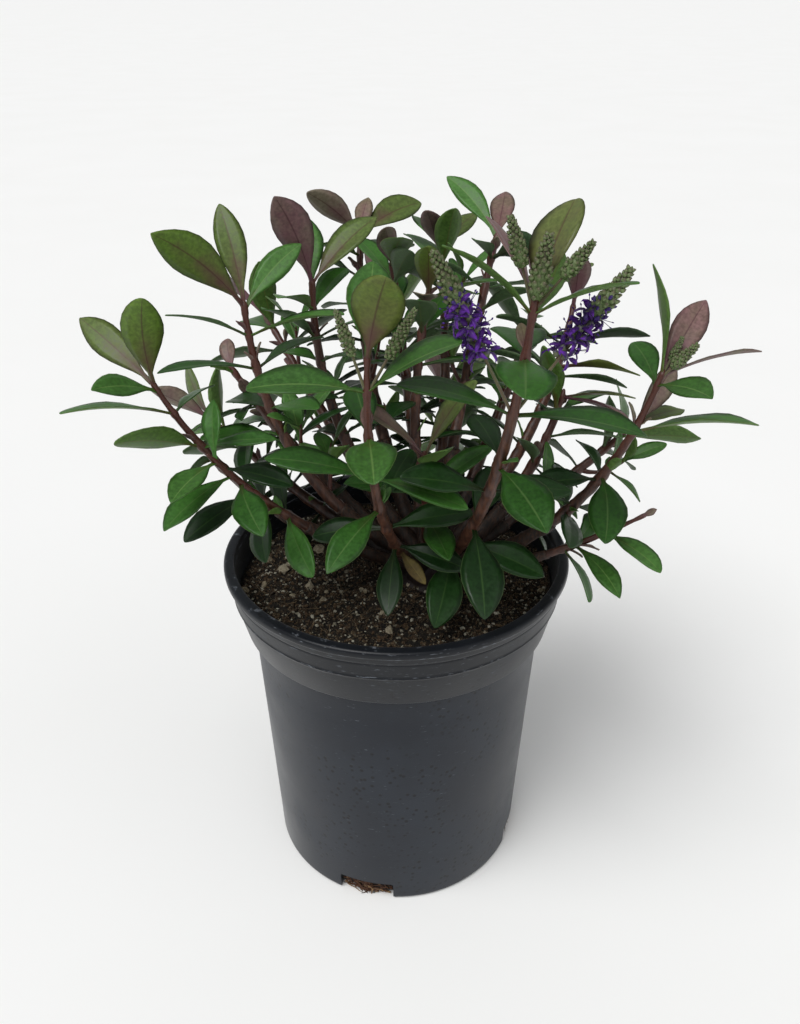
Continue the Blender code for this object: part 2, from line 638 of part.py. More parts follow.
def finish(name, colour, roughness):
    """A plain material of one colour, written as sRGB hex."""
    parts = [int(colour[start:start + 2], 16) / 255 for start in (1, 3, 5)]
    linear = [part / 12.92 if part <= 0.04045 else ((part + 0.055) / 1.055) ** 2.4
              for part in parts]
    material = bpy.data.materials.new(name)
    material.use_nodes = True
    surface = material.node_tree.nodes["Principled BSDF"]
    surface.inputs["Base Color"].default_value = (*linear, 1.0)
    surface.inputs["Roughness"].default_value = roughness
    surface.inputs["Metallic"].default_value = 0.0
    return material


def solid(name, shell, material):
    """An object made of one closed shell, its faces turned outwards."""
    mesh = bpy.data.meshes.new(name)
    corners, faces = shell
    mesh.from_pydata(np.asarray(corners).tolist(), [], faces)
    shape = bmesh.new()
    shape.from_mesh(mesh)
    bmesh.ops.recalc_face_normals(shape, faces=shape.faces)
    bmesh.ops.triangulate(shape, faces=shape.faces)
    shape.to_mesh(mesh)
    shape.free()
    mesh.materials.append(material)
    item = bpy.data.objects.new(name, mesh)
    bpy.context.scene.collection.objects.link(item)
    return item


def cut(item, cutter):
    """Cut one object out of another, then remove the cutter."""
    change = item.modifiers.new("cut", "BOOLEAN")
    change.operation = "DIFFERENCE"
    change.object = cutter
    apply_changes(item)
    bpy.data.objects.remove(cutter)


def apply_changes(item):
    """Bake an object's modifiers into its mesh."""
    shaped = item.evaluated_get(bpy.context.evaluated_depsgraph_get())
    mesh = bpy.data.meshes.new_from_object(shaped)
    item.modifiers.clear()
    item.data = mesh


def fused(name, shells, material):
    """One closed solid of many shells, joined in one union on their collection."""
    item = solid(name, shells[0], material)
    parts = bpy.data.collections.new(name + " parts")
    bpy.context.scene.collection.children.link(parts)
    for index, shell in enumerate(shells[1:]):
        part = solid(f"{name} part {index}", shell, material)
        bpy.context.scene.collection.objects.unlink(part)
        parts.objects.link(part)
    union = item.modifiers.new("join", "BOOLEAN")
    union.operation = "UNION"
    union.operand_type = "COLLECTION"
    union.solver = "MANIFOLD"
    union.collection = parts
    apply_changes(item)
    for part in list(parts.objects):
        bpy.data.objects.remove(part)
    bpy.data.collections.remove(parts)
    keep_largest(item)
    return item


def keep_largest(item):
    """Drop loose scraps that no part of the stem holds."""
    shape = bmesh.new()
    shape.from_mesh(item.data)
    bmesh.ops.triangulate(shape, faces=shape.faces)
    left = set(shape.verts)
    groups = []
    while left:
        group = {left.pop()}
        edge = list(group)
        while edge:
            corner = edge.pop()
            for link in corner.link_edges:
                other = link.other_vert(corner)
                if other in left:
                    left.remove(other)
                    group.add(other)
                    edge.append(other)
        groups.append(group)
    groups.sort(key=len)
    for group in groups[:-1]:
        bmesh.ops.delete(shape, geom=list(group), context="VERTS")
    shape.to_mesh(item.data)
    shape.free()


def make_pot(material):
    """The pot: turned body with drain notches cut through the foot of its wall."""
    pot = solid("pot", lathe_shell(pot_profile(), POT_SIDES), material)
    for index in range(NOTCH_COUNT):
        bearing = math.radians(NOTCH_BEARING + index * 360 / NOTCH_COUNT)
        out = np.array([math.cos(bearing), math.sin(bearing), 0.0])
        across = np.cross(UP, out)
        corners = [out * reach + across * side * NOTCH_WIDTH / 2 + UP * height
                   for reach in (BASE_RADIUS - NOTCH_REACH, BASE_RADIUS + NOTCH_REACH)
                   for side in (-1, 1) for height in (-WALL, NOTCH_HEIGHT)]
        faces = [(0, 1, 3, 2), (4, 6, 7, 5), (0, 4, 5, 1), (2, 3, 7, 6), (0, 2, 6, 4), (1, 5, 7, 3)]
        cut(pot, solid("notch", (np.array(corners), faces), material))
    return pot


def rounded(item):
    """Shade a round piece smooth, apart from its edges."""
    item.data.shade_smooth()
    item.data.set_sharp_from_angle(angle=math.radians(SMOOTH_ANGLE))


def main():
    """Build the pot, the soil, the trunk, and each shoot's bough and foliage."""
    for item in list(bpy.data.objects):
        bpy.data.objects.remove(item)
    pot_finish = finish("moulded pot", "#343a44", 0.5)
    soil_finish = finish("potting soil", "#2a221c", 0.95)
    bark_finish = finish("hebe bark", "#5a3a30", 0.8)
    leaf_finish = finish("hebe foliage", "#3f6b38", 0.5)
    pieces = [make_pot(pot_finish),
              solid("soil", lathe_shell(soil_profile(), POT_SIDES), soil_finish),
              solid("trunk", trunk_shell(), bark_finish)]
    plants = grow()
    pieces += [solid("bough_" + plant.name, plant.bough, bark_finish) for plant in plants]
    for piece in pieces:
        rounded(piece)
    pieces += [fused("foliage_" + plant.name, plant.mass, leaf_finish) for plant in plants]
    base = bpy.data.objects.new("potted hebe", None)
    bpy.context.scene.collection.objects.link(base)
    for piece in pieces:
        piece.parent = base


main()
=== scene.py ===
"""Dress a hebe shrub in its nursery pot: every surface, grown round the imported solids.

Lengths are in metres, +Z is up, +X is right and -Y is the front, with the origin at the centre
of the pot's flat underside. The stems and leaves follow the rule that the solids follow: each
stem is one bow from the trunk, each leaf stands at a length below its tip and at a bearing
about it (0 points right, 90 to the back), and a leaf with no room is turned, shortened or left
out. Here they are given their rounded outlines, ribs, buds and flowers.
"""
import logging
import math
import random
from dataclasses import dataclass, field
from enum import Enum
from typing import NamedTuple

import bpy
import numpy as np
from mathutils.bvhtree import BVHTree
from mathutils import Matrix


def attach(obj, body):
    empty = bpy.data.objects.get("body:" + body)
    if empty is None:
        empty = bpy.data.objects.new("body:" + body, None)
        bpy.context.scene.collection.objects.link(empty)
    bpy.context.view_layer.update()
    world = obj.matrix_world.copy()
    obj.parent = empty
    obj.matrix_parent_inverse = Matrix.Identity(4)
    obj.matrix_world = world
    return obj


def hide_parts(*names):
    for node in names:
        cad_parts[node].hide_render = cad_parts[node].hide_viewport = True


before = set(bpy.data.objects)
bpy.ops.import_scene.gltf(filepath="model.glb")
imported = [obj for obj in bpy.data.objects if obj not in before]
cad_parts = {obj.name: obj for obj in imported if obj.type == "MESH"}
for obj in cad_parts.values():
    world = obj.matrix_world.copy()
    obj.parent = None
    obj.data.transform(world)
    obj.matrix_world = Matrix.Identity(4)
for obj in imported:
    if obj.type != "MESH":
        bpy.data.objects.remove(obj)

LOG = logging.getLogger("hebe")
MM = 0.001
BODY = "root"
UP = np.array([0.0, 0.0, 1.0])
RIGHT = np.array([1.0, 0.0, 0.0])
CLEARANCE = 0.3 * MM
TINY = 1e-6
GOLDEN_TURN = math.pi * (3.0 - math.sqrt(5.0))
ROUGH_WAVES = 14
FLAT_MAP = "surface"
OWN = "own"


def linear(colour: str) -> tuple[float, float, float, float]:
    """Turn an sRGB hex colour to linear light.

    Args:
        colour: Six hex digits after a hash.

    Returns:
        Linear red, green, blue and an alpha of one.
    """
    parts = [int(colour[start:start + 2], 16) / 255 for start in (1, 3, 5)]
    light = [part / 12.92 if part <= 0.04045 else ((part + 0.055) / 1.055) ** 2.4
             for part in parts]
    return (*light, 1.0)


def add_node(tree: bpy.types.NodeTree, kind: str, inputs: dict | None = None,
             **settings: object) -> bpy.types.Node:
    """Add one node with its settings and links.

    Args:
        tree: Material's node tree.
        kind: Node's type name.
        inputs: Value or output socket for each input, by name or number.
        **settings: Attributes of the node.

    Returns:
        The new node.
    """
    node = tree.nodes.new(kind)
    for name, value in settings.items():
        setattr(node, name, value)
    for name, value in (inputs or {}).items():
        if isinstance(value, bpy.types.NodeSocket):
            tree.links.new(value, node.inputs[name])
        else:
            node.inputs[name].default_value = value
    return node


def start_material(name: str, **sockets: object) -> tuple[bpy.types.Material, bpy.types.Node]:
    """Make a material with one Principled shader.

    Args:
        name: What the real material is and how it was made.
        **sockets: Constant values of the shader, with underscores for spaces.

    Returns:
        The material and its shader node.
    """
    material = bpy.data.materials.new(name)
    material.use_nodes = True
    shader = material.node_tree.nodes["Principled BSDF"]
    for socket, value in sockets.items():
        shader.inputs[socket.replace("_", " ")].default_value = value
    return material, shader


def unit(vectors: np.ndarray) -> np.ndarray:
    """The vectors at length one."""
    return vectors / np.linalg.norm(vectors, axis=-1, keepdims=True)


def rough(points: np.ndarray, size: float, seed: int) -> np.ndarray:
    """Smooth unevenness: the mean of sine waves of about one wavelength in random directions.

    Args:
        points: Places, as rows of three.
        size: Wavelength in metres.
        seed: Which waves.

    Returns:
        One value a point, mostly between -1 and 1.
    """
    chance = np.random.default_rng(seed)
    waves = unit(chance.normal(size=(ROUGH_WAVES, 3))) / (size * chance.uniform(0.6, 1.6, (ROUGH_WAVES, 1)))
    phase = chance.uniform(0, 2 * np.pi, ROUGH_WAVES)
    return np.sin(points @ waves.T * 2 * np.pi + phase).mean(axis=-1) * math.sqrt(ROUGH_WAVES)


@dataclass
class Patch:
    """Part of a surface, as whole arrays.

    A face is a row of four corner numbers, the last of them -1 in a triangle. Each corner has
    its place on the flattened surface and, as a third number there, the chance value of the
    leaf or grain that it belongs to. Each face has the number of its finish.
    """

    corners: np.ndarray
    faces: np.ndarray
    flat: np.ndarray
    zones: np.ndarray

    def moved(self, axes: np.ndarray, origin: np.ndarray) -> "Patch":
        """Copy turned so that its X, Y and Z lie along the rows of axes, then put at origin."""
        return Patch(self.corners @ axes + origin, self.faces, self.flat, self.zones)

    def owned(self, value: float) -> "Patch":
        """The patch itself, with one chance value for all of it."""
        self.flat[:, 2] = value
        return self

    @staticmethod
    def joined(patches: list["Patch"]) -> "Patch":
        """Put patches together into one.

        Args:
            patches: At least one patch.

        Returns:
            Their corners and faces in order, the corner numbers shifted to match.
        """
        starts = np.cumsum([0] + [len(patch.corners) for patch in patches[:-1]])
        faces = [np.where(patch.faces < 0, -1, patch.faces + start)
                 for patch, start in zip(patches, starts)]
        return Patch(np.concatenate([patch.corners for patch in patches]), np.concatenate(faces),
                     np.concatenate([patch.flat for patch in patches]),
                     np.concatenate([patch.zones for patch in patches]))


def loft(rings: np.ndarray, ends: tuple[np.ndarray, np.ndarray], flat: np.ndarray | None = None,
         zones: np.ndarray | None = None) -> Patch:
    """Closed surface through rings of corners, drawn to a point at both ends.

    Args:
        rings: Rings by corners by three.
        ends: First and last point.
        flat: Rings by corners by two, or None for turn and length counted in rings.
        zones: Finish number of each of the ring's sides, or None for zero.

    Returns:
        Quads between the rings and a fan of triangles at each end.
    """
    count, sides = rings.shape[:2]
    if flat is None:
        turn, along = np.meshgrid(np.arange(sides) / sides, np.arange(count) / count)
        flat = np.stack([turn, along], axis=-1)
    flat = np.concatenate([flat, np.zeros((count, sides, 1))], axis=-1)
    if zones is None:
        zones = np.zeros(sides, int)
    side = np.arange(sides)
    after = (side + 1) % sides
    start = 1 + np.arange(count - 1)[:, None] * sides
    quads = np.stack([start + side, start + after, start + sides + after, start + sides + side], axis=-1)
    last = 1 + count * sides
    none = np.full(sides, -1)
    first_fan = np.stack([np.zeros(sides, int), 1 + after, 1 + side, none], axis=-1)
    last_fan = np.stack([last - sides + side, last - sides + after, np.full(sides, last), none], axis=-1)
    corners = np.concatenate([ends[0][None], rings.reshape(-1, 3), ends[1][None]])
    places = np.concatenate([flat[0].mean(axis=0)[None], flat.reshape(-1, 3), flat[-1].mean(axis=0)[None]])
    return Patch(corners, np.concatenate([first_fan, quads.reshape(-1, 4), last_fan]), places,
                 np.concatenate([zones, np.tile(zones, count - 1), zones]))


def tube(points: np.ndarray, slopes: np.ndarray, radii: np.ndarray, sides: int,
         along: np.ndarray | None = None) -> Patch:
    """Round rod along points: each ring is a circle square to the rod, times its radii.

    Args:
        points: Places along the rod.
        slopes: Direction of the rod at each.
        radii: Radius at each point, or at each corner of each ring.
        sides: Corners in a ring.
        along: Place of each point along the flattened surface, or None for its share.

    Returns:
        The closed rod, its flattened surface counted in turns there and back.
    """
    angle = np.arange(sides) * 2 * np.pi / sides
    across = unit(RIGHT - slopes * (slopes @ RIGHT)[:, None])
    up = np.cross(slopes, across)
    circle = np.cos(angle)[:, None] * across[:, None] + np.sin(angle)[:, None] * up[:, None]
    rings = points[:, None] + circle * np.broadcast_to(radii.T, (sides, len(points))).T[:, :, None]
    if along is None:
        along = np.linspace(0.0, 1.0, len(points))
    turn = np.abs(2 * np.arange(sides) / sides - 1)
    flat = np.stack(np.broadcast_arrays(turn[None, :], along[:, None]), axis=-1)
    return loft(rings, (points[0], points[-1]), flat)


def lathe(profile: np.ndarray, sides: int, round_at: float = 1.0) -> Patch:
    """Solid of revolution about the pot's axis: each profile point is swept round a circle.

    Args:
        profile: Radius and height of each point, from axis to axis, up the outside.
        sides: Corners round the circle.
        round_at: Radius at which lengths round the flattened surface are true.

    Returns:
        The closed solid, its flattened surface in metres round and along.
    """
    angle = np.arange(sides) * 2 * np.pi / sides
    middle = profile[1:-1]
    rings = np.stack([middle[:, :1] * np.cos(angle), middle[:, :1] * np.sin(angle),
                      np.broadcast_to(middle[:, 1:], (len(middle), sides))], axis=-1)
    along = np.concatenate([[0.0], np.cumsum(np.linalg.norm(np.diff(middle, axis=0), axis=1))])
    flat = np.stack(np.broadcast_arrays(angle[None] * round_at, along[:, None]), axis=-1)
    ends = np.array([0.0, 0.0, profile[0, 1]]), np.array([0.0, 0.0, profile[-1, 1]])
    return loft(rings, ends, flat)


def make_piece(name: str, patch: Patch, finishes: list[bpy.types.Material],
               smooth: bool = True) -> bpy.types.Object:
    """Put a patch into a mesh object at the origin.

    Args:
        name: Object's name.
        patch: Surface.
        finishes: Materials, in the order of the patch's finish numbers.
        smooth: Whether it is shaded smooth, or else in facets.

    Returns:
        The new object, linked to the scene.
    """
    used = patch.faces >= 0
    loops = patch.faces[used]
    starts = np.concatenate([[0], np.cumsum(used.sum(axis=1))[:-1]])
    mesh = bpy.data.meshes.new(name)
    mesh.vertices.add(len(patch.corners))
    mesh.vertices.foreach_set("co", patch.corners.astype(np.float32).ravel())
    mesh.loops.add(len(loops))
    mesh.loops.foreach_set("vertex_index", loops.astype(np.int32))
    mesh.polygons.add(len(patch.faces))
    mesh.polygons.foreach_set("loop_start", starts.astype(np.int32))
    mesh.polygons.foreach_set("material_index", patch.zones.astype(np.int32))
    mesh.update(calc_edges=True)
    mesh.uv_layers.new(name=FLAT_MAP).data.foreach_set("uv", patch.flat[loops, :2].astype(np.float32).ravel())
    mesh.attributes.new(OWN, "FLOAT", "POINT").data.foreach_set("value", patch.flat[:, 2].astype(np.float32))
    for finish in finishes:
        mesh.materials.append(finish)
    if smooth:
        mesh.shade_smooth()
    else:
        mesh.shade_flat()
    piece = bpy.data.objects.new(name, mesh)
    bpy.context.scene.collection.objects.link(piece)
    return piece


def place_piece(piece: bpy.types.Object, slot: str, *nodes: str) -> None:
    """Let a piece ride on the plant's body in place of solids, and log it.

    Args:
        piece: Finished piece.
        slot: Not used.
        *nodes: Solids that it stands for.
    """
    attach(piece, BODY)
    if nodes:
        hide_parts(*nodes)
    LOG.info("%s: %d faces", piece.name, len(piece.data.polygons))


class Age(Enum):
    """How old a leaf is, by the letter that the table of shoots gives it."""

    BUD = "B"
    TIP = "T"
    FRESH = "F"
    GROWN = "G"
    OLD = "O"
    WITHERED = "W"


class Leaf(NamedTuple):
    """One leaf: where its joint is, which way it points, its length and its own roll.

    `broad` makes its blade broader or slimmer than those of its shoot.
    """

    below: float
    turn: float
    opening: float
    length: float
    roll: float = 0.0
    broad: float = 1.0


class Spike(NamedTuple):
    """One flower spike on its stalk: `bloom` is the share of it in open flower."""

    below: float
    turn: float
    opening: float
    stalk: float
    length: float
    width: float
    bloom: float


class Shoot(NamedTuple):
    """One stem from the trunk, with the point it passes and its tip, both in millimetres.

    `turn` is the bearing of its top pair of leaves and `leaf` the length of a full-grown one.
    `stout` scales its thickness, and a twiggy one has more short side twigs than the solids.
    `leaves` are listed, from the tip down, `ages` gives a letter for each of them, and past the last, pairs follow
    the rule.
    """

    name: str
    via: tuple
    tip: tuple
    turn: float
    leaf: float
    pairs: int
    ages: str = ""
    leaves: tuple = ()
    spikes: tuple = ()
    ratio: float = 0.42
    stout: float = 1.0
    twiggy: bool = True


# Every stem, those that the others are kept clear of first
SHOOTS = (
    Shoot("front_centre", (-6, -54, 223), (-10, -65, 291), 0, 42, 7, "TFFFFGGGGOOOOOW", leaves=(
        Leaf(0, 286, 29, 42, -25, 1.2), Leaf(0, 90, 40, 42, 0, 1.15), Leaf(12, 182, 82, 44, -12, 1.15),
        Leaf(12, 346, 52, 41, 14, 1.2),
        Leaf(31, 276, 78, 37, 0, 1.35), Leaf(31, 100, 80, 36), Leaf(50, 182, 64, 43), Leaf(50, 346, 104, 39),
        Leaf(68, 240, 76, 39, -20, 0.9), Leaf(68, 60, 90, 36), Leaf(82, 2, 95, 37), Leaf(82, 175, 92, 34),
        Leaf(98, 267, 78, 34, 0, 0.9), Leaf(98, 350, 100, 33), Leaf(104, 306, 84, 21, 0, 0.8)), spikes=(
        Spike(13, 185, 18, 16, 17, 5.5, 0), Spike(13, 0, 28, 16, 20, 5.5, 0)), stout=0.86, twiggy=False),
    Shoot("front_right", (38, -60, 240), (48, -65, 312), 0, 46, 8, "TBFFGGGGGOOOOOOO", ratio=0.46, leaves=(
        Leaf(0, 54, 26, 41, -20, 1.35), Leaf(0, 122, 27, 42, 20, 0.75), Leaf(4, 199, 55, 43, 0, 0.65),
        Leaf(4, 335, 60, 38, 0, 0.9),
        Leaf(20, 262, 86, 40, 0, 1.3), Leaf(20, 90, 84, 38, 0, 1.4), Leaf(42, 181, 76, 45),
        Leaf(42, 343, 78, 49),
        Leaf(66, 286, 74, 44, 25), Leaf(62, 106, 90, 32), Leaf(80, 185, 85, 38), Leaf(80, 10, 85, 36),
        Leaf(104, 272, 78, 45), Leaf(104, 80, 90, 34), Leaf(120, 336, 75, 38),
        Leaf(136, 252, 70, 40)), spikes=(
        Spike(42, 176, 35, 22, 45, 15, 0.6), Spike(42, 24, 32, 23, 42, 15, 0.6),
        Spike(3, 194, 23, 16, 17, 6.5, 0), Spike(2, 276, 14, 4, 22, 8.5, 0.1),
        Spike(3, 345, 33, 15, 15, 6.5, 0)), twiggy=False),
    Shoot("right", (76, -30, 212), (108, -25, 270), 0, 42, 6, "FBBFGFGGOOOO", leaves=(
        Leaf(0, 178, 22, 45), Leaf(0, 16, 46, 46, -20, 0.6), Leaf(3, 60, 24, 44, 10, 0.85), Leaf(4, 288, 80, 35, 50),
        Leaf(5, 109, 60, 32, -40), Leaf(25, 337, 52, 49), Leaf(25, 148, 105, 40),
        Leaf(48, 270, 98, 43, 30), Leaf(48, 104, 86, 30), Leaf(50, 207, 108, 34),
        Leaf(66, 20, 90, 32), Leaf(66, 190, 95, 32)), spikes=(
        Spike(1, 40, 10, 8, 10, 4, 0), Spike(1, 330, 26, 6, 13, 6, 0)), stout=0.86, twiggy=False),
    Shoot("low_right", (67, -42, 196), (101, -48, 217), 0, 32, 4, "BBFGFG", leaves=(
        Leaf(0, 233, 14, 7), Leaf(0, 60, 16, 8), Leaf(16, 294, 52, 30, 45), Leaf(16, 110, 70, 24),
        Leaf(30, 278, 58, 34, 50, 0.8), Leaf(30, 67, 75, 29)), stout=0.6, twiggy=False),
    Shoot("left_tall", (-46, -12, 231), (-63, -3, 292), 45, 42, 7, "TTFBGFGGOGGO", leaves=(
        Leaf(0, 236, 48, 54, 55, 0.84), Leaf(0, 116, 14, 45, -15, 0.76), Leaf(1, 30, 44, 38, 60, 0.85),
        Leaf(2, 126, 26, 47, 40, 0.6),
        Leaf(12, 223, 62, 39, 0, 0.45), Leaf(12, 348, 80, 43), Leaf(26, 221, 70, 46, -15, 0.6),
        Leaf(26, 41, 80, 38),
        Leaf(44, 130, 80, 38), Leaf(44, 310, 85, 38), Leaf(60, 165, 64, 42), Leaf(62, 17, 85, 34)),
        stout=0.95, twiggy=False),
    Shoot("left", (-67, -30, 224), (-95, -38, 271), 0, 42, 6, "TTFFGFGGOO", leaves=(
        Leaf(0, 332, 29, 43, -50), Leaf(0, 134, 44, 45, -20, 0.78), Leaf(3, 250, 48, 34, -60, 0.85),
        Leaf(14, 226, 45, 46, 0, 0.8),
        Leaf(14, 75, 100, 32), Leaf(33, 237, 36, 40, 35, 1.1), Leaf(33, 344, 98, 36, 0, 0.7),
        Leaf(40, 270, 62, 30, 25, 1.1), Leaf(46, 329, 120, 32), Leaf(60, 90, 80, 34)), stout=0.76, twiggy=False),
    Shoot("left_low", (-50, -38, 215), (-72, -54, 247), 60, 34, 5, "FGGGOOGO", leaves=(
        Leaf(3, 262, 56, 33, -25), Leaf(3, 80, 60, 26), Leaf(13, 242, 60, 38, -10),
        Leaf(19, 296, 80, 37, -20),
        Leaf(28, 231, 58, 36, -15), Leaf(28, 30, 80, 30), Leaf(48, 290, 95, 34),
        Leaf(48, 110, 80, 30)), stout=0.74, twiggy=False),
    Shoot("back_left", (-30, 18, 240), (-37, 24, 294), 30, 42, 7, "BTFFGGG", leaves=(
        Leaf(0, 234, 24, 45, 45), Leaf(0, 33, 47, 43, 20), Leaf(3, 90, 36, 38), Leaf(11, 250, 56, 36),
        Leaf(11, 65, 65, 36), Leaf(24, 237, 62, 40), Leaf(24, 330, 70, 38))),
    Shoot("back_mid_left", (-14, 52, 250), (-18, 80, 303), 30, 42, 7, "BTBFG", leaves=(
        Leaf(0, 225, 62, 36, 35), Leaf(0, 34, 54, 43, 55), Leaf(1, 70, 18, 24, 20),
        Leaf(10, 238, 90, 38),
        Leaf(10, 60, 60, 36))),
    Shoot("back_middle", (6, 36, 236), (-2, 54, 294), 90, 40, 7, "BFGG", leaves=(
        Leaf(0, 250, 40, 34, 25), Leaf(0, 279, 46, 40, -10), Leaf(8, 297, 62, 36, -40),
        Leaf(8, 130, 50, 36))),
    Shoot("middle", (9, 14, 223), (15, 32, 290), 80, 40, 7, "TBFG", leaves=(
        Leaf(4, 259, 46, 35, 10), Leaf(8, 262, 74, 32), Leaf(5, 350, 60, 34), Leaf(5, 140, 53, 36))),
    Shoot("back_far", (24, 50, 240), (22, 84, 294), 30, 38, 7, "TFB", leaves=(
        Leaf(0, 30, 42, 34, 40), Leaf(0, 117, 27, 36), Leaf(1, 255, 60, 30))),
    Shoot("back_right", (32, 33, 240), (47, 61, 306), 40, 40, 7, "FBGOGG", leaves=(
        Leaf(0, 146, 48, 44, -60, 0.72), Leaf(2, 88, 33, 36, -10, 0.9), Leaf(10, 248, 80, 28),
        Leaf(10, 300, 75, 36, -50), Leaf(24, 20, 70, 38), Leaf(24, 190, 75, 36))),
    Shoot("right_back", (60, 16, 220), (84, 50, 276), 80, 40, 7, "BOGTG", leaves=(
        Leaf(0, 262, 60, 32), Leaf(19, 341, 68, 40), Leaf(19, 170, 75, 36),
        Leaf(30, 328, 81, 41), Leaf(30, 140, 80, 36))),
    Shoot("right_inner", (55, 3, 200), (77, 19, 244), 320, 38, 5, "BTG", leaves=(
        Leaf(1, 327, 90, 35), Leaf(1, 354, 70, 34), Leaf(1, 150, 50, 34))),
    Shoot("left_inner", (-50, 14, 222), (-76, 24, 255), 40, 38, 5, "BFGGOG", leaves=(
        Leaf(1, 60, 30, 17, 30, 1.25), Leaf(3, 240, 45, 14), Leaf(19, 259, 71, 32), Leaf(21, 235, 66, 39),
        Leaf(30, 331, 100, 40), Leaf(30, 130, 70, 34))),
    Shoot("far_left_back", (-38, 46, 226), (-66, 78, 262), 20, 40, 7),
    Shoot("far_back", (6, 66, 222), (-2, 118, 258), 60, 40, 7),
    Shoot("far_right_back", (52, 52, 222), (74, 92, 264), 10, 40, 7),
    Shoot("low_right_back", (76, 16, 196), (116, 34, 222), 50, 38, 6),
    Shoot("low_left_back", (-52, 26, 192), (-92, 44, 220), 50, 38, 6),
    Shoot("low_back", (22, 56, 188), (26, 100, 212), 20, 38, 6),
    Shoot("centre_low", (14, -22, 196), (12, -34, 238), 15, 38, 5),
)


Shell = tuple[np.ndarray, list]


def ring_faces(rings: int, sides: int) -> list[tuple[int, ...]]:
    """Faces of a coarse closed shell: a first point, rings of points and a last point.

    Args:
        rings: How many rings.
        sides: Points in each.

    Returns:
        Corner numbers of each face.
    """
    last = rings * sides + 1
    faces = [(0, 1 + (side + 1) % sides, 1 + side) for side in range(sides)]
    for start in range(1, last - sides, sides):
        faces += [(start + side, start + (side + 1) % sides, start + sides + (side + 1) % sides,
                   start + sides + side) for side in range(sides)]
    start = last - sides
    return faces + [(start + side, start + (side + 1) % sides, last) for side in range(sides)]


def coarse_tube(points: np.ndarray, slopes: np.ndarray, radii: np.ndarray, sides: int) -> Shell:
    """Rod of few corners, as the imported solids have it, to test for room."""
    rod = tube(np.asarray(points), np.asarray(slopes), np.asarray(radii), sides)
    return rod.corners, ring_faces(len(points), sides)


def coarse_lathe(profile: list[tuple[float, float]], sides: int) -> Shell:
    """Solid of revolution of few corners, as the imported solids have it, to test for room."""
    return lathe(np.array(profile), sides).corners, ring_faces(len(profile) - 2, sides)


@dataclass
class Stem:
    """A stem's curve: one bow through three points, read by its length below the tip."""

    foot: np.ndarray
    via: np.ndarray
    tip: np.ndarray
    count: int = 121
    points: np.ndarray = field(init=False)
    slopes: np.ndarray = field(init=False)
    along: np.ndarray = field(init=False)
    length: float = field(init=False)

    def __post_init__(self) -> None:
        """Find the bow's middle handle so that the curve passes the point given."""
        reach = np.linalg.norm(self.via - self.foot)
        share = reach / (reach + np.linalg.norm(self.tip - self.via))
        handle = self.via - (1 - share) ** 2 * self.foot - share ** 2 * self.tip
        handle = handle / (2 * share * (1 - share))
        place = np.linspace(0.0, 1.0, self.count)[:, None]
        self.points = ((1 - place) ** 2 * self.foot + 2 * place * (1 - place) * handle
                       + place ** 2 * self.tip)
        self.slopes = unit(2 * (1 - place) * (handle - self.foot) + 2 * place * (self.tip - handle))
        steps = np.linalg.norm(np.diff(self.points, axis=0), axis=1)
        self.along = np.concatenate([[0.0], np.cumsum(steps)])
        self.length = self.along[-1]

    def at(self, below: float | np.ndarray) -> tuple[np.ndarray, np.ndarray]:
        """Find points and directions of the stem.

        Args:
            below: Length below the tip, or several.

        Returns:
            Points and unit directions.
        """
        where = self.length - below
        point = np.stack([np.interp(where, self.along, self.points[:, axis]) for axis in range(3)], -1)
        slope = np.stack([np.interp(where, self.along, self.slopes[:, axis]) for axis in range(3)], -1)
        past = np.minimum(where, 0.0)
        return point + np.expand_dims(past, -1) * slope, unit(slope)

    def side(self, below: float, turn: float) -> tuple[np.ndarray, np.ndarray, np.ndarray]:
        """Find a sideways direction of the stem.

        Args:
            below: Length below the tip.
            turn: Bearing about the stem in degrees.

        Returns:
            Point, direction of the stem, and the direction at that bearing.
        """
        point, slope = self.at(below)
        across = unit(RIGHT - slope * (RIGHT @ slope))
        angle = math.radians(turn)
        return point, slope, math.cos(angle) * across + math.sin(angle) * np.cross(slope, across)


def turned(vectors: np.ndarray, axes: np.ndarray, angle: float | np.ndarray) -> np.ndarray:
    """Vectors turned about unit axes by one angle, or each by its own."""
    along = np.sum(vectors * axes, axis=1)[:, None] * axes
    return along + (vectors - along) * np.cos(angle) + np.cross(axes, vectors) * np.sin(angle)


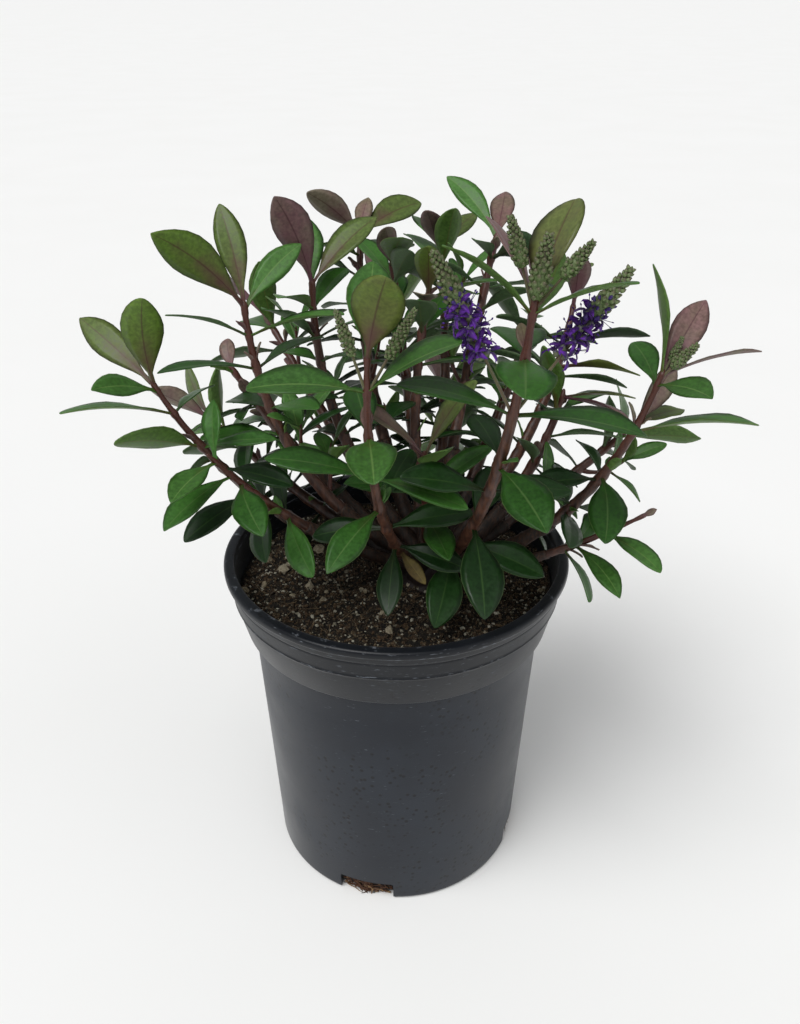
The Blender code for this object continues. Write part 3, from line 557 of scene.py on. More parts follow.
@dataclass(frozen=True)
class LeafShape:
    """A hebe leaf: a short stalk, then an oval blade, cupped and arched over.

    The half-width along the blade is sin(pi * share ** tail) ** fullness of the greatest.
    """

    thick: float = 0.8 * MM
    cup: float = 0.10
    stations: tuple = (0.22, 0.55, 0.87)
    petiole: float = 0.06
    tail: float = 1.3
    fullness: float = 0.8
    few_corners: float = 1.1
    rib_points: int = 9
    arch: float = 26.0
    arch_start: float = 0.3
    light_share: float = 0.12
    most_roll: float = 1.5
    room: float = 0.5 * MM
    rows: tuple = (0.03, 0.08, 0.14, 0.22, 0.32, 0.43, 0.55, 0.66, 0.76, 0.85, 0.92, 0.965, 0.99)
    columns: tuple = (1, 0.6, 0.07, -0.07, -0.6, -1, -0.6, -0.07, 0.07, 0.6)
    slimmer: float = 0.88
    base_power: float = 1.05
    tip_power: tuple = (0.55, 0.85)
    blade_thick: float = 0.5 * MM
    stalk_half: float = 1.0 * MM
    rib_depth: float = 0.5 * MM
    furrow: float = 0.22 * MM

    def half_width(self, share: np.ndarray) -> np.ndarray:
        """Half-width at shares of the leaf's length, as a share of the greatest half-width."""
        blade = np.clip((share - self.petiole) / (1 - self.petiole), 0.0, 1.0)
        return np.sin(np.pi * blade ** self.tail) ** self.fullness

    def rib(self, stem: Stem, leaf: Leaf) -> tuple[np.ndarray, np.ndarray, np.ndarray]:
        """Run the leaf's rib out from the middle of its stem.

        It leaves at the leaf's opening and arches over. The blade then turns about its rib, a
        share of the way towards the light.

        Args:
            stem: Stem that the leaf stands on.
            leaf: The leaf.

        Returns:
            Points along the rib, and the directions across it and out of its upper face.
        """
        point, slope, out = stem.side(leaf.below * MM, leaf.turn)
        share = np.linspace(0.0, 1.0, self.rib_points)
        angle = np.radians(leaf.opening + self.arch * (share - self.arch_start))[:, None]
        heading = np.cos(angle) * slope + np.sin(angle) * out
        upper = np.sin(angle) * slope - np.cos(angle) * out
        steps = (heading[1:] + heading[:-1]) / 2 * leaf.length * MM / (self.rib_points - 1)
        rib = point + np.concatenate([np.zeros((1, 3)), np.cumsum(steps, axis=0)])
        middle = heading[self.rib_points // 2]
        light = unit(UP - middle * (UP @ middle) + TINY * RIGHT)
        face = upper[self.rib_points // 2]
        to_light = math.atan2(np.cross(face, light) @ middle, face @ light)
        to_light = max(-self.most_roll, min(self.most_roll, to_light))
        roll = self.light_share * (1 - middle[2] ** 2) * to_light + math.radians(leaf.roll)
        upper = turned(upper, heading, roll)
        return rib, np.cross(heading, upper), upper

    def spread(self, lines: tuple[np.ndarray, ...], share: np.ndarray) -> list[np.ndarray]:
        """Read lines of the rib's points at other shares of its length."""
        known = np.linspace(0.0, 1.0, self.rib_points)
        return [np.stack([np.interp(share, known, line[:, axis]) for axis in range(3)], axis=-1)
                for line in lines]

    def coarse(self, stem: Stem, leaf: Leaf, ratio: float) -> Shell:
        """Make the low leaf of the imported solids, to test for room.

        Args:
            stem: Stem that the leaf stands on.
            leaf: The leaf.
            ratio: Greatest width over length.

        Returns:
            Its root, three stations of two edges and a keel, and its tip.
        """
        lines = self.rib(stem, leaf)
        stations = np.array(self.stations)
        half = (self.half_width(stations) * leaf.length * MM * ratio / 2 * self.few_corners)[:, None]
        middle, wide, high = self.spread(lines, stations)
        raised = high * half * self.cup
        rings = np.stack([middle + wide * half + raised, middle - wide * half + raised,
                          middle - high * self.thick], axis=1)
        corners = np.concatenate([lines[0][:1], rings.reshape(-1, 3), lines[0][-1:]])
        return corners, ring_faces(len(stations), 3)

    def swollen(self, shell: Shell) -> list[Shell]:
        """A leaf's shell made thicker to test its room: the whole of it, and its blade alone."""
        corners, faces = shell
        rings = corners[1:-1].reshape(-1, 3, 3)
        wide = unit(rings[1, 0] - rings[1, 1]) * self.room
        lift = unit(rings[1, :2].mean(axis=0) - rings[1, 2]) * self.room
        rings = rings + np.array([wide + lift, lift - wide, -lift])
        tip = corners[-1] + unit(corners[-1] - corners[0]) * self.room
        roots = (corners[0], rings[0].mean(axis=0))
        return [(np.concatenate([[root], rings.reshape(-1, 3), [tip]]), faces) for root in roots]

    def fine(self, stem: Stem, leaf: Leaf, ratio: float, seed: int) -> Patch:
        """Make the leaf as it looks: two rounded faces, a furrow above and a rib beneath.

        The half-width is the sine of the rule, to a power that falls from the wedge of the
        foot to the round of the tip. Across the blade the height is the cup times the offset
        to the power 1.3, waved along the edges, less the furrow above and the rib below the
        middle. The blade twists evenly along its rib.

        Args:
            stem: Stem that the leaf stands on.
            leaf: The leaf.
            ratio: Greatest width over length.
            seed: Sets its own small differences.

        Returns:
            The closed leaf, flat places from -1 to 1 across and 0 to 1 along, finish 0 on its
            upper face and 1 beneath.
        """
        chance = np.random.default_rng(seed)
        share = np.array(self.rows)
        lines = self.rib(stem, leaf)
        middle, wide, high = self.spread(lines, share)
        twist = math.radians(chance.uniform(-9, 9)) * (share - 0.3)[:, None]
        heading = unit(np.cross(high, wide))
        wide, high = turned(wide, heading, twist), turned(high, heading, twist)
        length = leaf.length * MM
        blade = np.clip((share - self.petiole) / (1 - self.petiole), 0.0, 1.0)
        tip_power = chance.uniform(*self.tip_power) / max(leaf.broad, 1.0)
        power = self.base_power + (tip_power - self.base_power) * blade
        half = np.sin(np.pi * blade ** self.tail).clip(TINY) ** power * length * ratio * self.slimmer / 2
        half = half * leaf.broad
        half = np.maximum(half, np.where(share < 0.3, self.stalk_half, 0.0))[:, None]
        across = np.array(self.columns, float)
        above = np.array([0, -1, -1, -1, -1, 0, 1, 1, 1, 1])
        cup = chance.uniform(0.08, 0.3) * np.abs(across) ** 1.3 * half
        wave = np.sin(2 * np.pi * (share[:, None] * chance.uniform(1.3, 2.4) + chance.uniform()))
        wave = wave * across * np.abs(across) * chance.uniform(0.1, 0.45) * MM
        fade = np.sin(np.pi * np.clip(share, 0, 1) ** 0.6)[:, None]
        near = np.abs(across) < 0.3
        skin = above * self.blade_thick / 2
        lines_in = np.where(near & (above > 0), -self.furrow * fade, 0.0)
        keel = np.where(near & (above < 0), -self.rib_depth * (1.1 - share)[:, None], 0.0)
        lift = cup + wave + skin + lines_in + keel
        bend = chance.uniform(-0.03, 0.03) * length * share[:, None] ** 2
        offset = across * half + bend
        rings = middle[:, None] + wide[:, None] * offset[:, :, None] + high[:, None] * lift[:, :, None]
        tip = lines[0][-1] + wide[-1] * bend[-1]
        flat = np.stack(np.broadcast_arrays(across[None], share[:, None]), axis=-1)
        blade = loft(rings, (lines[0][0], tip), flat, np.array([1] * 5 + [0] * 5))
        return blade.owned(chance.uniform())


@dataclass(frozen=True)
class WoodShape:
    """The stems: their thickness where they leave the trunk, and up to the bud at the tip."""

    bough_foot: float = 2.2 * MM
    stem: float = 2.0 * MM
    tip: float = 1.0 * MM
    twig: float = 0.9 * MM
    bud: float = 3 * MM
    stem_sides: int = 5
    bough_sides: int = 6
    twig_sides: int = 4
    ring_step: float = 22 * MM
    fine_step: float = 1.3 * MM
    fine_sides: int = 14
    fuller: float = 1.18
    young_fuller: float = 0.55 * MM
    young_reach: float = 22 * MM
    joint_width: float = 1.2 * MM
    joint_swell: float = 0.35 * MM
    relief: float = 0.16 * MM

    def coarse(self, stem: Stem, below: float, above: float, thick: float, thin: float, sides: int,
               bud: float = 0.0) -> Shell:
        """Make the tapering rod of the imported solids, to test for room.

        Args:
            stem: The stem.
            below: Where it starts, below the tip.
            above: Where it ends, below the tip.
            thick: Radius at its start.
            thin: Radius at its end.
            sides: Corners in a ring.
            bud: Length of the bud on its end.

        Returns:
            The rod.
        """
        rings = max(3, round((below - above) / self.ring_step) + 1)
        points, slopes = stem.at(np.linspace(below, above, rings))
        radii = np.linspace(thick, thin, rings)
        if bud:
            points = np.concatenate([points, points[-1:] + slopes[-1:] * bud])
            slopes = np.concatenate([slopes, slopes[-1:]])
            radii = np.append(radii, thin / 2)
        return coarse_tube(points, slopes, radii, sides)

    def fine(self, stem: Stem, below: float, above: float, thick: float, thin: float,
             joints: np.ndarray, seed: int, bud: float = 0.0) -> Patch:
        """Make a stem as it looks.

        Its radius is the taper, a little fuller below the youngest stretch, plus a bump of Gauss's form at each joint, plus ridges that
        wander round and along it. A bud is a last stretch drawn in to its point.

        Args:
            stem: The stem.
            below: Where it starts, below the tip.
            above: Where it ends, below the tip.
            thick: Radius at its start.
            thin: Radius at its end.
            joints: Lengths below the tip where leaves stand or stood.
            seed: Sets its ridges.
            bud: Length of the bud on its end.

        Returns:
            The closed rod.
        """
        places = np.linspace(below, above, max(4, int((below - above) / self.fine_step)))
        points, slopes = stem.at(places)
        radii = np.linspace(thick, thin, len(places)) * self.fuller
        radii = radii + self.young_fuller * (1 - np.exp(-places / self.young_reach)) * thin / self.tip
        if bud:
            past = np.linspace(0.2, 0.97, 5)
            points = np.concatenate([points, points[-1] + slopes[-1] * bud * past[:, None]])
            slopes = np.concatenate([slopes, np.repeat(slopes[-1:], len(past), axis=0)])
            radii = np.concatenate([radii, radii[-1] * np.sqrt(1 - past ** 2)])
            places = np.concatenate([places, -bud * past])
        gaps = (places[:, None] - joints[None]) / self.joint_width
        radii = radii + self.joint_swell * np.exp(-gaps ** 2).sum(axis=1).clip(0, 1)
        turn = np.arange(self.fine_sides) * 2 * np.pi / self.fine_sides
        spots = np.stack(np.broadcast_arrays(
            np.cos(turn)[None] * 2 * MM, np.sin(turn)[None] * 2 * MM, places[:, None] * 0.3), axis=-1)
        ridges = rough(spots, 2.2 * MM, seed) * self.relief * (radii / self.stem)[:, None]
        return tube(points, slopes, radii[:, None] + ridges, self.fine_sides, places)


@dataclass(frozen=True)
class SpikeShape:
    """A flower spike: a stalk and a head, which is widest where it is in flower."""

    stalk: float = 0.7 * MM
    places: tuple = (0.0, 0.2, 0.45, 0.7, 0.88, 1.0)
    sides: int = 6
    stalk_sides: int = 4
    span: float = 0.8
    start: float = 0.12
    fullness: float = 0.6
    bud_share: float = 0.5

    def line(self, stem: Stem, spike: Spike) -> tuple[np.ndarray, np.ndarray, np.ndarray]:
        """Find where a spike's stalk starts, where its head starts, and its heading."""
        point, slope, out = stem.side(spike.below * MM, spike.turn)
        angle = math.radians(spike.opening)
        heading = math.cos(angle) * slope + math.sin(angle) * out
        return point, point + heading * spike.stalk * MM, heading

    def coarse(self, stem: Stem, spike: Spike) -> list[Shell]:
        """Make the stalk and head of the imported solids, to test for room."""
        point, neck, heading = self.line(stem, spike)
        stalk = coarse_tube(np.array([point, neck + heading * MM]), np.array([heading] * 2),
                            np.full(2, self.stalk), self.stalk_sides)
        places = np.array(self.places)
        points = neck + heading * (places * spike.length * MM)[:, None]
        head = coarse_tube(points, np.array([heading] * len(places)), self.radii(spike, places),
                           self.sides)
        return [stalk, head]

    def radii(self, spike: Spike, places: np.ndarray) -> np.ndarray:
        """Radius of a spike's head at shares of its length."""
        budded = np.sin(np.pi * (places * self.span + self.start)) ** self.fullness
        flowering = np.where((places < spike.bloom) | (spike.bloom == 0), 1.0, self.bud_share)
        return spike.width * MM / 2 * budded * flowering


@dataclass
class Space:
    """The room already taken, as one tree of triangles for each piece."""

    taken: list = field(default_factory=list)

    def add(self, shell: Shell, owner: str) -> None:
        """Take up the room of a shell and note whose it is."""
        self.taken.append((BVHTree.FromPolygons(shell[0].tolist(), shell[1]), owner))

    def holds(self, shell: Shell, own: tuple[str, ...] = ()) -> bool:
        """Tell whether a shell touches nothing but the pieces of the owners left out."""
        tree = BVHTree.FromPolygons(shell[0].tolist(), shell[1])
        return not any(tree.overlap(other) for other, owner in self.taken if owner not in own)


class Grown(NamedTuple):
    """One leaf that has found its room, on its stem."""

    stem: Stem
    leaf: Leaf
    age: Age


@dataclass(frozen=True)
class Rule:
    """How pairs follow each other down a stem, and how a leaf with no room is changed.

    The foot values spread the stems where they leave the trunk, in degrees. A twig's leaves
    are each given by length below its tip, bearing and opening.
    """

    top_gap: float = 9 * MM
    gap_growth: float = 2.6 * MM
    top_opening: float = 28
    opening_step: float = 16
    widest: float = 84
    lengths: tuple = (1.0, 1.0, 0.98, 0.92, 0.86, 0.8, 0.75, 0.7)
    bearing_sway: float = 14
    opening_sway: float = 9
    length_sway: tuple = (0.9, 1.06)
    seed: int = 11
    sways: tuple = ((0, 0), (10, 0), (-10, 0), (0, 9), (0, -9), (20, 6), (-20, 6), (0, 20))
    shorter: tuple = (1.0, 0.85, 0.7)
    twig: float = 22 * MM
    twig_opening: float = 50.0
    twig_rise: float = 0.7
    twig_leaf: float = 0.6
    twig_chance: float = 0.2
    twig_rank: int = 3
    twig_leaves: tuple = ((0, 20, 30), (0, 200, 30), (8, 110, 55), (8, 290, 55))
    bare_below: float = 9 * MM
    least_bough: float = 18 * MM
    axil_chance: float = 0.22
    axil_rise: float = 1.2
    axil_openings: tuple = (22.0, 38.0)
    axil_lengths: tuple = (8.0, 14.0)
    axil_broad: float = 1.15
    axil_young: float = 45.0
    axil_reach: float = 75.0
    more_twigs: float = 0.4
    more_from: float = 18.0
    low_step: float = 6.0
    low_clear: float = 18.0
    low_chance: float = 0.9
    low_openings: tuple = (60.0, 96.0)
    low_lengths: tuple = (0.5, 0.85)
    foot_spread: float = 22.0
    foot_lowest: float = 16.0
    foot_rounds: int = 200
    foot_ease: float = 0.5

    def below(self, rank: int) -> float:
        """Length below the tip, in mm, of a pair counted from the tip."""
        return (self.top_gap * rank + self.gap_growth * rank * (rank - 1) / 2) / MM

    def leaf(self, shoot: Shoot, rank: int, side: int, chance: random.Random) -> Leaf:
        """Make a leaf of a pair: lower ones open wider and are shorter.

        Args:
            shoot: Its shoot.
            rank: Pair, counted from the tip.
            side: 0 or 1.
            chance: Source of the small differences.

        Returns:
            The leaf.
        """
        sway = chance.uniform(-self.bearing_sway, self.bearing_sway)
        turn = shoot.turn + 90 * rank + 180 * side + sway
        opening = min(self.top_opening + self.opening_step * rank, self.widest)
        opening += chance.uniform(-self.opening_sway, self.opening_sway)
        length = shoot.leaf * self.lengths[min(rank, len(self.lengths) - 1)]
        return Leaf(self.below(rank), turn, opening, length * chance.uniform(*self.length_sway))

    def side_twig(self, stem: Stem, leaf: Leaf) -> Stem:
        """Grow a short side stem from a leaf's joint, turning up to the light."""
        point, slope, out = stem.side(leaf.below * MM, leaf.turn)
        angle = math.radians(self.twig_opening)
        heading = math.cos(angle) * slope + math.sin(angle) * out
        via = point + heading * self.twig / 2
        return Stem(point, via, via + unit(heading + self.twig_rise * UP) * self.twig / 2)

    def foot_headings(self, shoots: tuple[Shoot, ...], middle: np.ndarray) -> np.ndarray:
        """Spread the directions in which stems leave the trunk until none crowds another.

        Args:
            shoots: All shoots.
            middle: Point that they leave.

        Returns:
            One unit direction a shoot.
        """
        spread = math.radians(self.foot_spread)
        lowest = math.radians(self.foot_lowest)
        headings = unit(np.array([shoot.via for shoot in shoots]) * MM - middle)
        for _ in range(self.foot_rounds):
            away = headings[:, None] - headings
            gap = np.linalg.norm(away, axis=2)[:, :, None]
            crowding = np.where((gap > 0) & (gap < spread), spread - gap, 0.0)
            headings = headings + self.foot_ease * (away / np.maximum(gap, TINY) * crowding).sum(axis=1)
            headings /= np.linalg.norm(headings, axis=1)[:, None]
            low = headings[:, 2] < math.sin(lowest)
            flat = headings[low, :2] / np.linalg.norm(headings[low, :2], axis=1)[:, None]
            headings[low, :2] = flat * math.cos(lowest)
            headings[low, 2] = math.sin(lowest)
        return headings


RULE = Rule()
LEAF = LeafShape()
WOOD = WoodShape()
SPIKE = SpikeShape()


def settle(space: Space, stem: Stem, leaf: Leaf, ratio: float, owner: str) -> Leaf | None:
    """Find the leaf nearest to the one asked for that touches nothing.

    Args:
        space: Room taken so far.
        stem: Stem that the leaf stands on.
        leaf: Leaf asked for.
        ratio: Its greatest width over its length.
        owner: Its shoot's name.

    Returns:
        The leaf, whose room is now taken, or None.
    """
    own = (owner, owner + " leaf", owner + " spike")
    for short in RULE.shorter:
        for sway, rise in RULE.sways:
            trial = leaf._replace(turn=leaf.turn + sway, opening=leaf.opening + rise,
                                  length=leaf.length * short)
            shell = LEAF.coarse(stem, trial, ratio)
            whole, blade = LEAF.swollen(shell)
            if space.holds(whole, own) and space.holds(blade, (owner,)):
                space.add(shell, owner + " leaf")
                return trial
    return None


@dataclass
class Plant:
    """One shoot as it grows: its stem, and the twigs and leaves that have found room."""

    shoot: Shoot
    stem: Stem
    bare: float = field(init=False)
    twigs: list[Stem] = field(default_factory=list)
    leaves: list[Grown] = field(default_factory=list)

    def __post_init__(self) -> None:
        """Split the stem where its lowest leaf stands."""
        lowest = max([leaf.below for leaf in self.shoot.leaves] + [RULE.below(self.shoot.pairs - 1)])
        self.bare = min(lowest * MM + RULE.bare_below, self.stem.length - RULE.least_bough)

    def take_room(self, space: Space) -> None:
        """Take up the room of the bough and of the stem above it."""
        name = self.shoot.name
        space.add(WOOD.coarse(self.stem, self.bare - CLEARANCE, 0.0, WOOD.stem, WOOD.tip,
                              WOOD.stem_sides, WOOD.bud), name)
        space.add(WOOD.coarse(self.stem, self.stem.length, self.bare, WOOD.bough_foot, WOOD.stem,
                              WOOD.bough_sides), name + " bough")

    def grow_spikes(self, space: Space) -> None:
        """Take up the room of the flower spikes."""
        for spike in self.shoot.spikes:
            for shell in SPIKE.coarse(self.stem, spike):
                space.add(shell, self.shoot.name + " spike")

    def grow_leaves(self, space: Space, wanted: list[Grown]) -> None:
        """Settle the leaves wanted, from the tip down."""
        for stem, leaf, age in wanted:
            found = settle(space, stem, leaf, self.shoot.ratio, self.shoot.name)
            if found:
                self.leaves.append(Grown(stem, found, age))

    def hand_leaves(self) -> list[Grown]:
        """List the leaves given in the table of shoots."""
        return [Grown(self.stem, leaf, Age(letter))
                for leaf, letter in zip(self.shoot.leaves, self.shoot.ages)]

    def rule_leaves(self, space: Space, chance: random.Random) -> list[Grown]:
        """List the pairs that follow the rule below the listed leaves.

        Args:
            space: Room taken so far.
            chance: Source of the small differences.

        Returns:
            Leaves of the stem, and of the side twigs that grow in place of some.
        """
        last = max([leaf.below for leaf in self.shoot.leaves], default=-RULE.top_gap / MM)
        ages = (Age.TIP, Age.FRESH, Age.GROWN, Age.GROWN)
        wanted = []
        for rank in range(self.shoot.pairs):
            for side in range(2):
                leaf = RULE.leaf(self.shoot, rank, side, chance)
                high = leaf.below <= last + RULE.top_gap / MM / 2
                if high or leaf.below * MM > self.bare - WOOD.stem:
                    continue
                if rank >= RULE.twig_rank and chance.random() < RULE.twig_chance:
                    twig = RULE.side_twig(self.stem, leaf)
                    if self.grow_twig(space, twig):
                        wanted += [Grown(twig, Leaf(down, turn, opening, self.shoot.leaf * RULE.twig_leaf),
                                         Age.FRESH) for down, turn, opening in RULE.twig_leaves]
                        continue
                age = ages[rank] if rank < len(ages) else Age.OLD
                wanted.append(Grown(self.stem, leaf, Age.BUD if age is Age.TIP and side else age))
        return wanted

    def small_leaves(self, space: Space, chance: random.Random) -> list[Grown]:
        """List the small leaves that the solids leave out.

        Args:
            space: Room taken so far.
            chance: Source of the small differences.

        Returns:
            Leaves of more side twigs, a young leaf or two above some of the joints, hugging the
            stem, and short old pairs down the bough, crosswise as higher up.
        """
        wanted = []
        for stem, leaf, _ in list(self.leaves):
            if self.shoot.twiggy and stem is self.stem and leaf.below > RULE.more_from:
                twig = RULE.side_twig(self.stem, leaf._replace(turn=leaf.turn + chance.uniform(25, 65)))
                if chance.random() < RULE.more_twigs and self.grow_twig(space, twig):
                    wanted += [Grown(twig, Leaf(down, turn, opening, self.shoot.leaf * RULE.twig_leaf),
                                     Age.GROWN) for down, turn, opening in RULE.twig_leaves]
        for stem, leaf, _ in self.leaves:
            if stem is not self.stem or leaf.below < RULE.top_gap / MM / 2:
                continue
            for opening in RULE.axil_openings:
                if chance.random() < RULE.axil_chance and leaf.below < RULE.axil_reach:
                    small = Leaf(leaf.below - RULE.axil_rise, leaf.turn + chance.uniform(-30, 30),
                                 opening, chance.uniform(*RULE.axil_lengths), 0.0, RULE.axil_broad)
                    wanted.append(Grown(stem, small, Age.BUD if leaf.below < RULE.axil_young else Age.FRESH))
        lows = np.arange(self.bare / MM, self.stem.length / MM - RULE.low_clear, RULE.low_step)
        for rank, below in enumerate(lows):
            for side in range(2):
                turn = self.shoot.turn + 90 * rank + 180 * side + chance.uniform(-25, 25)
                length = self.shoot.leaf * chance.uniform(*RULE.low_lengths)
                low = Leaf(below + chance.uniform(0, 3), turn, chance.uniform(*RULE.low_openings), length)
                if chance.random() < RULE.low_chance:
                    wanted.append(Grown(self.stem, low, Age.OLD))
        return wanted

    def grow_twig(self, space: Space, twig: Stem) -> bool:
        """Keep a side twig if it touches no other shoot, and tell whether it does."""
        rod = WOOD.coarse(twig, twig.length, 0.0, WOOD.twig, WOOD.twig / 2, WOOD.twig_sides, WOOD.bud)
        fits = space.holds(rod, (self.shoot.name,))
        if fits:
            space.add(rod, self.shoot.name)
            self.twigs.append(twig)
        return fits


@dataclass(frozen=True)
class LeafFinish:
    """Living hebe leaf with its wax: leathery, softly glossy above and duller beneath.

    Each leaf has its own shade between two greens, in soft blotches. It goes to the foot's
    colour near the stalk, furthest up the middle, and has a thin line of its own colour down
    the rib and along the edge.
    """

    name: str
    blade: str
    other: str
    foot: str
    rib: str
    edge: str
    roughness: float = 0.4
    specular: float = 0.36
    foot_reach: float = 0.4
    foot_depth: float = 0.9
    foot_wedge: float = 0.3
    spread: float = 9 * MM
    mottle: float = 1.4 * MM
    grain: float = 0.5 * MM

    def make(self) -> bpy.types.Material:
        """Build the material from the leaf's flat places and a mottle in space."""
        material, shader = start_material(self.name, IOR=1.45, Roughness=self.roughness,
                                          Specular_IOR_Level=self.specular)
        tree = material.node_tree
        place = add_node(tree, "ShaderNodeTexCoord").outputs["Object"]
        flat = add_node(tree, "ShaderNodeUVMap", uv_map=FLAT_MAP).outputs[0]
        parts = add_node(tree, "ShaderNodeSeparateXYZ", {0: flat})
        off = add_node(tree, "ShaderNodeMath", {0: parts.outputs["X"]}, operation="ABSOLUTE").outputs[0]
        own = add_node(tree, "ShaderNodeAttribute", attribute_name=OWN).outputs["Fac"]
        drift = add_node(tree, "ShaderNodeTexNoise", {"Vector": place, "Scale": 1 / self.spread,
                                                      "Detail": 3.0}).outputs[0]
        mixed = add_node(tree, "ShaderNodeMath", {0: own, 1: 0.6, 2: drift}, operation="MULTIPLY_ADD").outputs[0]
        drifted = add_node(tree, "ShaderNodeMapRange", {0: mixed, 1: 0.5, 2: 1.1}).outputs[0]
        body = add_node(tree, "ShaderNodeMix", {0: drifted, 6: linear(self.blade), 7: linear(self.other)},
                        data_type="RGBA").outputs[2]
        fine = add_node(tree, "ShaderNodeTexNoise", {"Vector": place, "Scale": 1 / self.mottle,
                                                     "Detail": 3.0}).outputs[0]
        light = add_node(tree, "ShaderNodeMath", {0: own, 1: 0.22, 2: fine}, operation="MULTIPLY_ADD").outputs[0]
        tone = add_node(tree, "ShaderNodeMapRange", {0: light, 1: 0.38, 2: 0.84, 3: 0.7, 4: 1.3}).outputs[0]
        body = add_node(tree, "ShaderNodeMix", {0: 1.0, 6: body, 7: tone}, data_type="RGBA",
                        blend_type="MULTIPLY").outputs[2]
        along = add_node(tree, "ShaderNodeMath", {0: off, 1: self.foot_wedge, 2: parts.outputs["Y"]},
                         operation="MULTIPLY_ADD").outputs[0]
        wander = add_node(tree, "ShaderNodeMath", {0: along, 1: drift}, operation="ADD").outputs[0]
        foot = add_node(tree, "ShaderNodeMapRange", {0: wander, 1: 0.55, 2: 0.55 + self.foot_reach,
                                                     3: self.foot_depth, 4: 0.0},
                        interpolation_type="SMOOTHSTEP").outputs[0]
        body = add_node(tree, "ShaderNodeMix", {0: foot, 6: body, 7: linear(self.foot)},
                        data_type="RGBA").outputs[2]
        rib = add_node(tree, "ShaderNodeMapRange", {0: off, 1: 0.01, 2: 0.07, 3: 0.6, 4: 0.0},
                       interpolation_type="SMOOTHSTEP").outputs[0]
        body = add_node(tree, "ShaderNodeMix", {0: rib, 6: body, 7: linear(self.rib)},
                        data_type="RGBA").outputs[2]
        edge = add_node(tree, "ShaderNodeMapRange", {0: off, 1: 0.93, 2: 0.99, 3: 0.0, 4: 0.55}).outputs[0]
        body = add_node(tree, "ShaderNodeMix", {0: edge, 6: body, 7: linear(self.edge)},
                        data_type="RGBA").outputs[2]
        tree.links.new(body, shader.inputs["Base Color"])
        gloss = add_node(tree, "ShaderNodeMapRange", {0: fine, 1: 0.3, 2: 0.7, 3: self.roughness - 0.07,
                                                      4: self.roughness + 0.1}).outputs[0]
        tree.links.new(gloss, shader.inputs["Roughness"])
        cells = add_node(tree, "ShaderNodeTexNoise", {"Vector": place, "Scale": 1 / self.grain,
                                                      "Detail": 2.0}).outputs[0]
        bump = add_node(tree, "ShaderNodeBump", {"Strength": 0.25, "Distance": 0.1 * MM, "Height": cells})
        tree.links.new(bump.outputs[0], shader.inputs["Normal"])
        return material


# Upper and under face of the leaves of each age
LEAF_FINISHES = {
    Age.BUD: (
        LeafFinish("Young hebe leaf, purple, upper face", "#795a5a", "#686348", "#6c424a", "#45202b",
                   "#2c151a", foot_reach=0.8),
        LeafFinish("Young hebe leaf, purple, under face", "#6a4a4f", "#6c6353", "#663e4a", "#3a1822",
                   "#2a1316", 0.5, foot_reach=0.9)),
    Age.TIP: (
        LeafFinish("Young hebe leaf, bronze, upper face", "#54682e", "#5a5e34", "#573836", "#4a2e28",
                   "#2f2018", foot_reach=0.7, foot_depth=1.0),
        LeafFinish("Young hebe leaf, bronze, under face", "#587528", "#57602c", "#5a3a38", "#3f1f1d",
                   "#241410", 0.47, foot_reach=0.85, foot_depth=1.0)),
    Age.FRESH: (
        LeafFinish("Fresh hebe leaf, upper face", "#345c20", "#446c30", "#41511f", "#648244",
                   "#7c945a"),
        LeafFinish("Fresh hebe leaf, under face", "#4a6929", "#56733b", "#50451e", "#5c5c2e",
                   "#748250", 0.5)),
    Age.GROWN: (
        LeafFinish("Grown hebe leaf, upper face", "#244c15", "#335d20", "#323d17", "#4e6b37",
                   "#688248"),
        LeafFinish("Grown hebe leaf, under face", "#3d5531", "#4a613f", "#423d25", "#566035",
                   "#6a7a50", 0.55)),
    # Old leaves are darker green of their own, and darker still as painted shade for the inside of the crown.
    Age.OLD: (
        LeafFinish("Old hebe leaf in painted shade, upper face", "#0f2b0b", "#193811", "#1d270f", "#344f24",
                   "#587242", 0.38),
        LeafFinish("Old hebe leaf in painted shade, under face", "#20351a", "#2a4124", "#2a2918", "#3c482b",
                   "#4e5e3a", 0.55)),
    Age.WITHERED: (
        LeafFinish("Withered hebe leaf, upper face", "#625c2a", "#544528", "#46301d", "#76693a",
                   "#442d1a", 0.7),
        LeafFinish("Withered hebe leaf, under face", "#6e5f34", "#574628", "#442f20", "#7c6d44",
                   "#442d1a", 0.75)),
}


